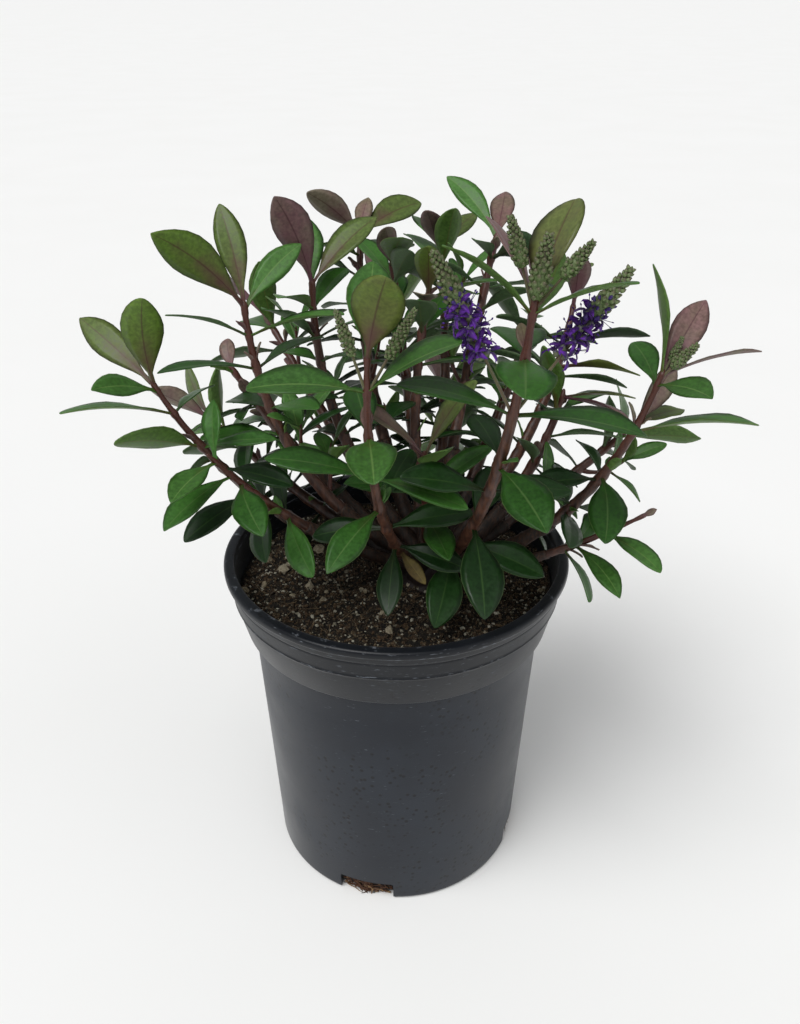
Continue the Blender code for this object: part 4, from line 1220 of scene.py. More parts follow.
@dataclass(frozen=True)
class BarkFinish:
    """Living bark, peeling finely: long streaks between a dark and a light brown.

    Toward the tip, read from the flat map in metres below it, it goes to a young colour, and from under the leaves
    down to the soil it is darkened by painted shade.
    """

    name: str
    dark: str
    light: str
    young: str
    young_from: float = 8 * MM
    young_to: float = 60 * MM
    # Painted shade under the leaves: full colour above the top height, darkest at the bottom one.
    painted_shade_top: float = 214 * MM
    painted_shade_bottom: float = 166 * MM
    roughness: float = 0.62
    streak: float = 0.9 * MM
    stretch: float = 0.18

    def make(self) -> bpy.types.Material:
        """Build the material from streaks along each stem and patches in space."""
        material, shader = start_material(self.name, IOR=1.5, Roughness=self.roughness)
        tree = material.node_tree
        place = add_node(tree, "ShaderNodeTexCoord").outputs["Object"]
        flat = add_node(tree, "ShaderNodeUVMap", uv_map=FLAT_MAP).outputs[0]
        parts = add_node(tree, "ShaderNodeSeparateXYZ", {0: flat})
        long = add_node(tree, "ShaderNodeMapping", {"Vector": place, "Scale": (1.0, 1.0, self.stretch)})
        streaks = add_node(tree, "ShaderNodeTexNoise", {"Vector": long.outputs[0], "Detail": 4.0,
                                                        "Scale": 1 / self.streak}).outputs[0]
        shade = add_node(tree, "ShaderNodeMapRange", {0: streaks, 1: 0.36, 2: 0.66}).outputs[0]
        body = add_node(tree, "ShaderNodeMix", {0: shade, 6: linear(self.dark), 7: linear(self.light)},
                        data_type="RGBA").outputs[2]
        young = add_node(tree, "ShaderNodeMapRange", {0: parts.outputs["Y"], 1: self.young_from,
                                                      2: self.young_to, 3: 0.9, 4: 0.0},
                         interpolation_type="SMOOTHSTEP").outputs[0]
        body = add_node(tree, "ShaderNodeMix", {0: young, 6: body, 7: linear(self.young)},
                        data_type="RGBA").outputs[2]
        fine = add_node(tree, "ShaderNodeTexNoise", {"Vector": place, "Scale": 1 / (0.5 * MM),
                                                     "Detail": 2.0}).outputs[0]
        tone = add_node(tree, "ShaderNodeMapRange", {0: fine, 1: 0.3, 2: 0.7, 3: 0.75, 4: 1.2}).outputs[0]
        body = add_node(tree, "ShaderNodeMix", {0: 1.0, 6: body, 7: tone}, data_type="RGBA",
                        blend_type="MULTIPLY").outputs[2]
        # Painted shade: the bark darkens from under the leaves down towards the soil.
        height = add_node(tree, "ShaderNodeSeparateXYZ", {0: place}).outputs["Z"]
        bark_painted_shade = add_node(tree, "ShaderNodeMapRange", {0: height, 1: self.painted_shade_bottom, 2: self.painted_shade_top,
                                                      3: 0.3, 4: 1.0}).outputs[0]
        body = add_node(tree, "ShaderNodeMix", {0: 1.0, 6: body, 7: bark_painted_shade}, data_type="RGBA",
                        blend_type="MULTIPLY").outputs[2]
        tree.links.new(body, shader.inputs["Base Color"])
        bump = add_node(tree, "ShaderNodeBump", {"Strength": 0.6, "Distance": 0.2 * MM, "Height": streaks})
        tree.links.new(bump.outputs[0], shader.inputs["Normal"])
        return material


@dataclass(frozen=True)
class PlantFinish:
    """Small soft parts of a flower, a bud or a root: two colours that wander into each other."""

    name: str
    first: str
    second: str
    patch: float
    roughness: float = 0.6
    tip: str | None = None
    sheen: float = 0.0
    own_share: float = 0.25

    def make(self) -> bpy.types.Material:
        """Build the material; with a tip colour, each part goes to it along its own length."""
        material, shader = start_material(self.name, IOR=1.4, Roughness=self.roughness,
                                          Sheen_Weight=self.sheen)
        tree = material.node_tree
        place = add_node(tree, "ShaderNodeTexCoord").outputs["Object"]
        spots = add_node(tree, "ShaderNodeTexNoise", {"Vector": place, "Scale": 1 / self.patch,
                                                      "Detail": 3.0}).outputs[0]
        own = add_node(tree, "ShaderNodeAttribute", attribute_name=OWN).outputs["Fac"]
        drift = add_node(tree, "ShaderNodeMath", {0: own, 1: self.own_share, 2: spots},
                         operation="MULTIPLY_ADD").outputs[0]
        share = add_node(tree, "ShaderNodeMapRange", {0: drift, 1: 0.38, 2: 0.62 + self.own_share}).outputs[0]
        body = add_node(tree, "ShaderNodeMix", {0: share, 6: linear(self.first), 7: linear(self.second)},
                        data_type="RGBA").outputs[2]
        if self.tip:
            flat = add_node(tree, "ShaderNodeUVMap", uv_map=FLAT_MAP).outputs[0]
            parts = add_node(tree, "ShaderNodeSeparateXYZ", {0: flat})
            end = add_node(tree, "ShaderNodeMapRange", {0: parts.outputs["Y"], 1: 0.35, 2: 0.8},
                           interpolation_type="SMOOTHSTEP").outputs[0]
            body = add_node(tree, "ShaderNodeMix", {0: end, 6: body, 7: linear(self.tip)},
                            data_type="RGBA").outputs[2]
        tree.links.new(body, shader.inputs["Base Color"])
        bump = add_node(tree, "ShaderNodeBump", {"Strength": 0.4, "Distance": 0.1 * MM, "Height": spots})
        tree.links.new(bump.outputs[0], shader.inputs["Normal"])
        return material


@dataclass(frozen=True)
class MouldedPotFinish:
    """Recycled polypropylene, injection moulded and used: a dull blue-grey with a soft sheen.

    It gives the eye a faintly cloudy grey, pale dusty rubs that run round it, mostly under the lip, pale lines along
    the steps that are partly wear and partly painted highlight, small dark pits, and painted shade that darkens it
    from the foot of the collar up.
    """

    name: str = "Polypropylene pot, injection moulded, charcoal"
    body: str = "#151a23"
    cloud: str = "#20262f"
    dust: str = "#80868e"
    pit: str = "#06070a"
    specular: float = 0.25
    sheen: float = 0.06
    roughness: float = 0.36
    cloud_size: float = 45 * MM
    rub_size: float = 5 * MM
    rub_stretch: float = 7.0
    pit_size: float = 3.6 * MM
    grain: float = 0.5 * MM
    rub_low: float = 120 * MM
    rub_high: float = 165 * MM
    # Pale lines along the step edges, partly wear and partly painted highlight: the height and strength of each.
    worn_and_lit_edges: tuple = ((139.0 * MM, 0.14), (156.6 * MM, 0.05), (169.2 * MM, 0.13))
    edge_line_width: float = 0.9 * MM
    # Painted shade on the collar and lip: where it starts, where it is full, and how dark it makes the colour.
    painted_shade_from: float = 137 * MM
    painted_shade_to: float = 141 * MM
    painted_shade_factor: float = 0.42

    def make(self) -> bpy.types.Material:
        """Build the material: clouds, painted shade from the collar's foot up, rubs, pale edge lines, pits and the
        mould's fine grain.
        """
        material, shader = start_material(self.name, IOR=1.49, Roughness=self.roughness,
                                          Specular_IOR_Level=self.specular, Sheen_Weight=self.sheen)
        tree = material.node_tree
        place = add_node(tree, "ShaderNodeTexCoord").outputs["Object"]
        height = add_node(tree, "ShaderNodeSeparateXYZ", {0: place}).outputs["Z"]
        clouds = add_node(tree, "ShaderNodeTexNoise", {"Vector": place, "Scale": 1 / self.cloud_size,
                                                       "Detail": 4.0}).outputs[0]
        cloudy = add_node(tree, "ShaderNodeMapRange", {0: clouds, 1: 0.4, 2: 0.66}).outputs[0]
        body = add_node(tree, "ShaderNodeMix", {0: cloudy, 6: linear(self.body), 7: linear(self.cloud)},
                        data_type="RGBA").outputs[2]
        # Painted shade: from the foot of the collar up, the colour is darkened.
        collar_painted_shade = add_node(tree, "ShaderNodeMapRange", {0: height, 1: self.painted_shade_from, 2: self.painted_shade_to,
                                                     3: 1.0, 4: self.painted_shade_factor}).outputs[0]
        body = add_node(tree, "ShaderNodeMix", {0: 1.0, 6: body, 7: collar_painted_shade}, data_type="RGBA",
                        blend_type="MULTIPLY").outputs[2]
        long = add_node(tree, "ShaderNodeMapping", {"Vector": place, "Scale": (1.0, 1.0, self.rub_stretch)})
        rubs = add_node(tree, "ShaderNodeTexNoise", {"Vector": long.outputs[0], "Scale": 1 / self.rub_size,
                                                     "Detail": 6.0, "Roughness": 0.65}).outputs[0]
        high = add_node(tree, "ShaderNodeMapRange", {0: height, 1: self.rub_low, 2: self.rub_high,
                                                     3: 0.05, 4: 0.0}).outputs[0]
        least = add_node(tree, "ShaderNodeMath", {0: high, 1: 0.6}, operation="ADD").outputs[0]
        # Pale lines along the step edges: partly wear, partly painted highlight.
        for step, depth in self.worn_and_lit_edges:
            away = add_node(tree, "ShaderNodeMath", {0: height, 1: step}, operation="SUBTRACT").outputs[0]
            near = add_node(tree, "ShaderNodeMath", {0: away}, operation="ABSOLUTE").outputs[0]
            edge_wear_and_highlight = add_node(tree, "ShaderNodeMapRange", {0: near, 1: self.edge_line_width / 2, 2: self.edge_line_width,
                                                         3: depth, 4: 0.0}).outputs[0]
            least = add_node(tree, "ShaderNodeMath", {0: least, 1: edge_wear_and_highlight}, operation="SUBTRACT").outputs[0]
        rubs_and_edge_lines = add_node(tree, "ShaderNodeMath", {0: rubs, 1: least}, operation="SUBTRACT").outputs[0]
        # Pale dust where the rubs show, and painted highlight along the step edges.
        dusty = add_node(tree, "ShaderNodeMapRange", {0: rubs_and_edge_lines, 1: 0.0, 2: 0.12, 3: 0.0, 4: 0.75}).outputs[0]
        body = add_node(tree, "ShaderNodeMix", {0: dusty, 6: body, 7: linear(self.dust)},
                        data_type="RGBA").outputs[2]
        cells = add_node(tree, "ShaderNodeTexVoronoi", {"Vector": place, "Scale": 1 / self.pit_size,
                                                        "Randomness": 1.0}).outputs["Distance"]
        spot = add_node(tree, "ShaderNodeMapRange", {0: cells, 1: 0.16, 2: 0.32, 3: 0.85, 4: 0.0}).outputs[0]
        where = add_node(tree, "ShaderNodeMapRange", {0: clouds, 1: 0.44, 2: 0.52}).outputs[0]
        pitted = add_node(tree, "ShaderNodeMath", {0: spot, 1: where}, operation="MULTIPLY").outputs[0]
        body = add_node(tree, "ShaderNodeMix", {0: pitted, 6: body, 7: linear(self.pit)},
                        data_type="RGBA").outputs[2]
        tree.links.new(body, shader.inputs["Base Color"])
        gloss = add_node(tree, "ShaderNodeMapRange", {0: clouds, 1: 0.35, 2: 0.65, 3: self.roughness - 0.06,
                                                      4: self.roughness + 0.1}).outputs[0]
        dull = add_node(tree, "ShaderNodeMath", {0: gloss, 1: dusty}, operation="ADD").outputs[0]
        tree.links.new(dull, shader.inputs["Roughness"])
        fine = add_node(tree, "ShaderNodeTexNoise", {"Vector": place, "Scale": 1 / self.grain,
                                                     "Detail": 2.0}).outputs[0]
        relief = add_node(tree, "ShaderNodeMath", {0: fine, 1: pitted}, operation="SUBTRACT").outputs[0]
        bump = add_node(tree, "ShaderNodeBump", {"Strength": 0.25, "Distance": 0.12 * MM, "Height": relief})
        tree.links.new(bump.outputs[0], shader.inputs["Normal"])
        return material


@dataclass(frozen=True)
class SoilFinish:
    """Damp potting mix of peat and bark: near black, in crumbs with paler dust on them."""

    name: str
    dark: str
    light: str
    dust: str
    crumb: float = 2.5 * MM
    fine: float = 0.6 * MM
    own_share: float = 0.5

    def make(self) -> bpy.types.Material:
        """Build the material: crumbs of two tones under a pale dust."""
        material, shader = start_material(self.name, Roughness=0.95, IOR=1.4)
        tree = material.node_tree
        place = add_node(tree, "ShaderNodeTexCoord").outputs["Object"]
        crumbs = add_node(tree, "ShaderNodeTexNoise", {"Vector": place, "Scale": 1 / self.crumb,
                                                       "Detail": 5.0}).outputs[0]
        own = add_node(tree, "ShaderNodeAttribute", attribute_name=OWN).outputs["Fac"]
        drift = add_node(tree, "ShaderNodeMath", {0: own, 1: self.own_share, 2: crumbs},
                         operation="MULTIPLY_ADD").outputs[0]
        share = add_node(tree, "ShaderNodeMapRange", {0: drift, 1: 0.4, 2: 0.62 + self.own_share}).outputs[0]
        body = add_node(tree, "ShaderNodeMix", {0: share, 6: linear(self.dark), 7: linear(self.light)},
                        data_type="RGBA").outputs[2]
        specks = add_node(tree, "ShaderNodeTexNoise", {"Vector": place, "Scale": 1 / self.fine,
                                                       "Detail": 2.0}).outputs[0]
        dusty = add_node(tree, "ShaderNodeMapRange", {0: specks, 1: 0.56, 2: 0.68, 4: 0.7}).outputs[0]
        body = add_node(tree, "ShaderNodeMix", {0: dusty, 6: body, 7: linear(self.dust)},
                        data_type="RGBA").outputs[2]
        tree.links.new(body, shader.inputs["Base Color"])
        bump = add_node(tree, "ShaderNodeBump", {"Strength": 0.8, "Distance": 0.6 * MM, "Height": crumbs})
        tree.links.new(bump.outputs[0], shader.inputs["Normal"])
        return material


def repeated(patch: Patch, axes: np.ndarray, origins: np.ndarray) -> Patch:
    """Copies of a patch, one for each set of axes and origin, each with its own chance value.

    Args:
        patch: Surface about the origin.
        axes: Copies by three by three: the rows take X, Y and Z, sizes included.
        origins: Copies by three.

    Returns:
        All copies in one patch.
    """
    count = len(origins)
    flat = np.tile(patch.flat, (count, 1))
    flat[:, 2] = np.repeat(np.random.default_rng(count).uniform(0, 1, count), len(patch.corners))
    corners = np.einsum("ci,nij->ncj", patch.corners, axes) + origins[:, None]
    shift = (np.arange(count) * len(patch.corners))[:, None, None]
    faces = np.where(patch.faces < 0, -1, patch.faces[None] + shift)
    return Patch(corners.reshape(-1, 3), faces.reshape(-1, patch.faces.shape[1]),
                 flat, np.tile(patch.zones, count))


def axes_along(headings: np.ndarray, chance: np.random.Generator) -> np.ndarray:
    """Axes whose Z runs along each heading, turned about it at random."""
    across = unit(np.cross(headings, chance.normal(size=headings.shape)))
    return np.stack([across, np.cross(headings, across), headings], axis=1)


def pod(length: float, radius: float, sides: int, rings: int, fullest: float = 0.4,
        blunt: float = 0.6) -> Patch:
    """Closed bud or grain along +Z: the radius is sin(pi * share ** power) ** blunt.

    Args:
        length: From the foot at the origin to the tip.
        radius: Greatest radius.
        sides: Corners in a ring.
        rings: Rings between the ends.
        fullest: Share of the length where it is thickest.
        blunt: Below 1 gives rounder ends.

    Returns:
        The pod, its flat places in turns and shares of its length.
    """
    share = np.arange(1, rings + 1) / (rings + 1)
    power = math.log(0.5) / math.log(fullest)
    radii = radius * np.sin(np.pi * share ** power) ** blunt
    angle = np.arange(sides) * 2 * np.pi / sides
    rings_at = np.stack(np.broadcast_arrays(radii[:, None] * np.cos(angle), radii[:, None] * np.sin(angle),
                                            share[:, None] * length), axis=-1)
    return loft(rings_at, (np.zeros(3), np.array([0.0, 0.0, length])))


@dataclass
class Pot:
    """The nursery pot: a turned body with a stepped collar and lip, and drain notches."""

    height: float = 173 * MM
    lip_radius: float = 82.5 * MM
    lip_depth: float = 4 * MM
    lip_flat: float = 5 * MM
    lip_overhang: float = 1.5 * MM
    collar_depth: float = 34.6 * MM
    collar_bottom: float = 74.5 * MM
    ridge_depth: float = 16.5 * MM
    ridge_out: float = 0.8 * MM
    body_top: float = 70.7 * MM
    base: float = 64.7 * MM
    wall: float = 2.0 * MM
    floor: float = 2.4 * MM
    coarse_sides: int = 36
    fine_sides: int = 144
    corner: float = 0.9 * MM
    line_depth: float = 8 * MM
    line_cut: float = 0.3 * MM
    wall_rows: tuple = (4, 7, 10, 12, 15, 30, 60, 90, 120)
    notch_count: int = 4
    notch_bearing: float = 256.0
    notch_width: float = 28 * MM
    notch_height: float = 11 * MM
    notch_reach: float = 7 * MM
    unevenness: float = 0.12 * MM

    def wall_radius(self, height: float) -> float:
        """Outer radius of the body at a height."""
        return self.base + (self.body_top - self.base) * height / (self.height - self.collar_depth)

    def collar_radius(self, height: float) -> float:
        """Outer radius of the collar at a height."""
        slope = (self.lip_radius - self.lip_overhang - self.collar_bottom) / (self.collar_depth - self.lip_depth)
        return self.collar_bottom + slope * (height - self.height + self.collar_depth)

    def profile(self, line: bool = False) -> list[tuple[float, float]]:
        """The section, from the middle of the underside round the outside and in over the lip.

        Args:
            line: Whether to cut the fine line below the lip, which the solid doesn't have.

        Returns:
            Radius and height of each point.
        """
        collar = self.height - self.collar_depth
        ridge = self.height - self.ridge_depth
        at_ridge = self.collar_radius(ridge)
        under_lip = self.height - self.lip_depth
        mark = self.height - self.line_depth
        cut = self.line_cut
        fine_line = [(self.collar_radius(mark - 2 * cut), mark - 2 * cut),
                     (self.collar_radius(mark) - cut, mark),
                     (self.collar_radius(mark + 2 * cut), mark + 2 * cut)] if line else []
        rows = [(self.wall_radius(row * MM), row * MM) for row in self.wall_rows] if line else []
        return [(0.0, 0.0), (self.base - self.wall, 0.0), (self.base, self.wall / 2), *rows,
                (self.wall_radius(collar), collar), (self.collar_bottom, collar + self.wall / 2),
                (at_ridge, ridge - self.ridge_out), (at_ridge + self.ridge_out, ridge),
                (at_ridge + self.ridge_out / 2, ridge + self.ridge_out), *fine_line,
                (self.collar_radius(under_lip), under_lip),
                (self.lip_radius, under_lip + self.wall / 4),
                (self.lip_radius, self.height - self.wall / 2),
                (self.lip_radius - self.wall / 2, self.height),
                (self.lip_radius - self.lip_flat, self.height),
                (at_ridge - self.wall, ridge), (self.collar_bottom - self.wall, collar + self.wall),
                (self.wall_radius(collar) - self.wall, collar),
                (self.base - self.wall, self.floor), (0.0, self.floor)]

    def softened(self, profile: np.ndarray) -> np.ndarray:
        """Round each inner corner of a profile with a parabola between points near it."""
        before, corner, after = profile[:-2], profile[1:-1], profile[2:]
        back, ahead = before - corner, after - corner
        back_length = np.linalg.norm(back, axis=1, keepdims=True)
        ahead_length = np.linalg.norm(ahead, axis=1, keepdims=True)
        start = corner + back / back_length * np.minimum(self.corner, back_length * 0.4)
        end = corner + ahead / ahead_length * np.minimum(self.corner, ahead_length * 0.4)
        share = np.linspace(0.0, 1.0, 4)[None, :, None]
        arcs = ((1 - share) ** 2 * start[:, None] + 2 * share * (1 - share) * corner[:, None]
                + share ** 2 * end[:, None])
        return np.concatenate([profile[:1], arcs.reshape(-1, 2), profile[-1:]])

    def notch_out(self, index: int) -> np.ndarray:
        """Direction out of the pot through one of its notches."""
        bearing = math.radians(self.notch_bearing + index * 360 / self.notch_count)
        return np.array([math.cos(bearing), math.sin(bearing), 0.0])

    def cutter(self, index: int) -> Patch:
        """Block that cuts one notch: a rounded slot's outline carried outwards."""
        out = self.notch_out(index)
        across = np.cross(UP, out)
        angle = np.linspace(0.0, np.pi, 13)
        round_top = 1.2 * MM
        side = self.notch_width / 2 - round_top
        outline = np.stack([np.cos(angle) * round_top + np.where(angle < np.pi / 2, side, -side),
                            self.notch_height - round_top + np.sin(angle) * round_top], axis=-1)
        outline = np.concatenate([[[self.notch_width / 2, -self.wall]], outline,
                                  [[-self.notch_width / 2, -self.wall]]])
        reach = np.array([self.base - self.notch_reach, self.base + self.notch_reach])
        rings = (out * reach[:, None, None] + across * outline[None, :, :1] + UP * outline[None, :, 1:])
        return loft(rings, (rings[0].mean(axis=0), rings[1].mean(axis=0)))

    def build(self) -> None:
        """Turn the pot, cut its notches in code, and give it its finish."""
        body = lathe(self.softened(np.array(self.profile(line=True))), self.fine_sides, self.lip_radius)
        shift = rough(body.corners, 40 * MM, 3) * self.unevenness
        body.corners[:, :2] *= 1 + (shift / self.lip_radius)[:, None]
        finish = MouldedPotFinish().make()
        pot = make_piece("nursery_pot", body, [finish])
        for index in range(self.notch_count):
            block = make_piece("notch block", self.cutter(index), [finish])
            cut = pot.modifiers.new("notch", "BOOLEAN")
            cut.operation = "DIFFERENCE"
            cut.object = block
            shaped = pot.evaluated_get(bpy.context.evaluated_depsgraph_get())
            pot.data = bpy.data.meshes.new_from_object(shaped)
            pot.modifiers.clear()
            bpy.data.objects.remove(block)
        pot.data.name = pot.name
        pot.data.set_sharp_from_angle(angle=math.radians(50))
        place_piece(pot, "pot", "pot")


@dataclass
class Soil:
    """The root ball: potting mix up to the collar, with grains on top and roots at the notches."""

    pot: Pot
    level: float = 158 * MM
    dome: float = 2 * MM
    flat: float = 45 * MM
    fine_sides: int = 180
    seed: int = 5
    crumb_count: int = 7200
    grit_count: int = 1900
    lump_count: int = 46
    chip_count: int = 640
    fibre_count: int = 150
    root_count: int = 120

    def edge(self) -> float:
        """Radius of the soil at its edge, before the gap to the wall."""
        pot = self.pot
        collar = pot.height - pot.collar_depth
        ridge = pot.height - pot.ridge_depth
        rise = (self.level - self.dome - collar - pot.wall) / (ridge - collar - pot.wall)
        return pot.collar_bottom + rise * (pot.collar_radius(ridge) - pot.collar_bottom)

    def profile(self) -> list[tuple[float, float]]:
        """The section, clear of the pot's floor and wall, low at its edge."""
        pot = self.pot
        collar = pot.height - pot.collar_depth
        inset = pot.wall + CLEARANCE * 2
        return [(0.0, pot.floor + CLEARANCE), (pot.base - inset, pot.floor + CLEARANCE),
                (pot.wall_radius(collar) - inset, collar + CLEARANCE * 2),
                (pot.collar_bottom - inset, collar + pot.wall + CLEARANCE * 2),
                (self.edge() - inset, self.level - self.dome), (self.flat, self.level), (0.0, self.level)]

    def surface(self, spots: np.ndarray) -> np.ndarray:
        """Height of the soil's top at places: the dome plus lumps of three sizes.

        Args:
            spots: Rows of X and Y.

        Returns:
            Heights.
        """
        away = np.linalg.norm(spots, axis=1)
        fall = np.clip((away - self.flat) / (self.edge() - self.flat), 0.0, 1.0)
        points = np.column_stack([spots, np.zeros(len(spots))])
        lumps = (rough(points, 16 * MM, 1) * 0.9 + rough(points, 6 * MM, 2) * 0.6
                 + rough(points, 2.4 * MM, 4) * 0.35) * MM
        return self.level - self.dome * fall + lumps

    def build(self) -> None:
        """Make the root ball, the grains on it and the roots that show at the notches."""
        outline = np.array(self.profile())
        wall = np.linspace(outline[1], outline[2], 24)
        top = np.linspace(outline[4], [0.6 * MM, self.level], 70)
        section = np.concatenate([outline[:1], wall, outline[3:4], top, outline[-1:]])
        ball = lathe(section, self.fine_sides, self.pot.lip_radius)
        high = ball.corners[:, 2] > self.level - self.dome - TINY
        ball.corners[high, 2] = self.surface(ball.corners[high, :2])
        low = ~high & (np.linalg.norm(ball.corners[:, :2], axis=1) > self.pot.base / 2)
        dents = np.abs(rough(ball.corners[low], 7 * MM, 9)) * 0.8 * MM
        ball.corners[low, :2] *= 1 - (dents / self.pot.base)[:, None]
        finish = SoilFinish("Potting mix of peat and bark, damp", "#0a0806", "#2a2118", "#4c4435").make()
        place_piece(make_piece("root_ball", ball, [finish]), "soil", "soil")
        self.strew("soil_crumbs", self.crumb_count, (0.9, 3.2), (0.65, 0.9, 1.0), SoilFinish(
            "Peat crumbs, dried at the edges", "#0c0806", "#4a3826", "#857c66", 1.5 * MM).make())
        self.strew("perlite_grains", self.grit_count, (0.6, 3.0), (0.65, 0.8, 1.0), PlantFinish(
            "Perlite, expanded, dusty", "#564e3e", "#b0ac9c", 1.2 * MM, 0.9, own_share=0.9).make())
        self.strew("pumice_lumps", self.lump_count, (3.4, 7.5), (0.75, 0.9, 1.0), PlantFinish(
            "Pumice, porous, dusty", "#6a5f4a", "#a89f8a", 1.0 * MM, 0.95).make())
        self.strew("bark_chips", self.chip_count, (1.6, 5.2), (0.3, 0.5, 1.0), SoilFinish(
            "Composted bark chips", "#1c1510", "#57452f", "#8c806a", 2 * MM).make())
        self.fibres()
        self.roots()

    def strew(self, name: str, count: int, size: tuple[float, float], form: tuple[float, float, float],
              finish: bpy.types.Material) -> None:
        """Strew grains over the top, each sunk a little way in.

        Args:
            name: Piece's name.
            count: How many.
            size: Least and greatest length in millimetres.
            form: Thickness, width and length as shares of it.
            finish: Material.
        """
        chance = np.random.default_rng(self.seed + count)
        reach = (self.edge() - self.pot.wall - 2 * MM) * np.sqrt(chance.uniform(0, 1, count))
        bearing = chance.uniform(0, 2 * np.pi, count)
        spots = np.column_stack([reach * np.cos(bearing), reach * np.sin(bearing)])
        sizes = size[0] + (size[1] - size[0]) * chance.beta(1.3, 3.0, count)
        heading = unit(np.column_stack([chance.normal(size=(count, 2)), chance.normal(0, 0.35, count)]))
        axes = axes_along(heading, chance)
        flip = np.sign(axes[:, 0, 2])[:, None]
        axes[:, 0] = unit(axes[:, 0] + UP * flip * 0.6)
        axes[:, 1] = unit(np.cross(axes[:, 2], axes[:, 0]))
        axes[:, 0] = np.cross(axes[:, 1], axes[:, 2])
        axes = axes * np.array(form)[None, :, None] * (sizes * MM)[:, None, None]
        origins = np.column_stack([spots, self.surface(spots)])
        origins = origins - axes[:, 2] / 2 + UP * (sizes * MM * form[0] * 0.12)[:, None]
        kinds = []
        for kind in range(3):
            grain = pod(1.0, 0.5, 5, 2, 0.45, 0.5)
            grain.corners += np.random.default_rng(kind).uniform(-0.15, 0.15, grain.corners.shape)
            kinds.append(repeated(grain, axes[kind::3], origins[kind::3]))
        place_piece(make_piece(name, Patch.joined(kinds), [finish], smooth=False), "soil")

    def strand(self, start: np.ndarray, heading: np.ndarray, length: float, radius: float,
               curl: float, chance: np.random.Generator) -> Patch:
        """Thin root or fibre whose heading wanders evenly at random along it.

        Args:
            start: Where it starts.
            heading: Which way it starts.
            length: Its length.
            radius: Its radius at the start; it thins to a third.
            curl: How far it wanders, in radians a step.
            chance: Source of its wandering.

        Returns:
            The strand.
        """
        count = 10
        turns = np.cumsum(chance.normal(0, curl, (count, 3)), axis=0)
        slopes = unit(heading + turns)
        points = start + np.concatenate([np.zeros((1, 3)), np.cumsum(slopes[:-1], axis=0)]) * length / count
        return tube(points, slopes, np.linspace(radius, radius / 3, count), 4)

    def fibres(self) -> None:
        """Lay bits of root and straw on the soil."""
        chance = np.random.default_rng(self.seed)
        strands = []
        for _ in range(self.fibre_count):
            reach = (self.edge() - 12 * MM) * math.sqrt(chance.uniform())
            bearing = chance.uniform(0, 2 * np.pi)
            spot = np.array([[reach * math.cos(bearing), reach * math.sin(bearing)]])
            start = np.append(spot[0], self.surface(spot)[0] + 0.3 * MM)
            heading = unit(np.append(chance.normal(size=2), chance.uniform(0.0, 0.12)))
            strands.append(self.strand(start, heading, chance.uniform(4, 11) * MM,
                                       chance.uniform(0.12, 0.3) * MM, 0.12, chance))
        finish = PlantFinish("Dry root and bark fibres", "#6a5a44", "#3c3024", 6 * MM, 0.85).make()
        place_piece(make_piece("soil_fibres", Patch.joined(strands), [finish]), "soil")

    def roots(self) -> None:
        """Curl roots over the root ball where the notches show it, with a few hairs out of it."""
        chance = np.random.default_rng(self.seed + 1)
        brown, pale = [], []
        for index in range(self.pot.notch_count):
            out = self.pot.notch_out(index)
            across = np.cross(UP, out)
            for number in range(self.root_count):
                hair = number % 15 == 0
                side = chance.uniform(-0.5, 0.5) * self.pot.notch_width * (0.6 if hair else 0.96)
                height = chance.uniform(0.8 * MM, self.pot.notch_height)
                reach = self.pot.base - chance.uniform(0.9, 1.7) * self.pot.wall
                start = out * math.sqrt(reach * reach - side * side) + across * side
                start = start + UP * height
                drop = -0.7 if hair else chance.uniform(-0.4, 0.5)
                heading = unit(across * -np.sign(side) * (0.2 if hair else 1.0) + UP * drop
                               + out * (0.15 if hair else -0.1))
                length = chance.uniform(2.5, 4.5) * MM if hair else chance.uniform(6, 12) * MM
                root = self.strand(start, heading, length, chance.uniform(0.25, 0.6) * MM,
                                   0.2 if hair else 0.16, chance)
                root.corners[:, 2] = np.maximum(root.corners[:, 2], 0.4 * MM)
                reach = np.hypot(root.corners[:, 0], root.corners[:, 1])
                furthest = self.pot.base + (0.8 if hair else -0.2) * MM
                root.corners[:, :2] *= np.minimum(1.0, furthest / reach)[:, None]
                (pale if number % 4 == 0 else brown).append(root)
        finish = PlantFinish("Living roots, brown", "#4e301c", "#2e1c12", 5 * MM, 0.7).make()
        place_piece(make_piece("brown_roots", Patch.joined(brown), [finish]), "soil")
        finish = PlantFinish("Living roots, young and pale", "#84694a", "#5c452e", 5 * MM, 0.6).make()
        place_piece(make_piece("pale_roots", Patch.joined(pale), [finish]), "soil")


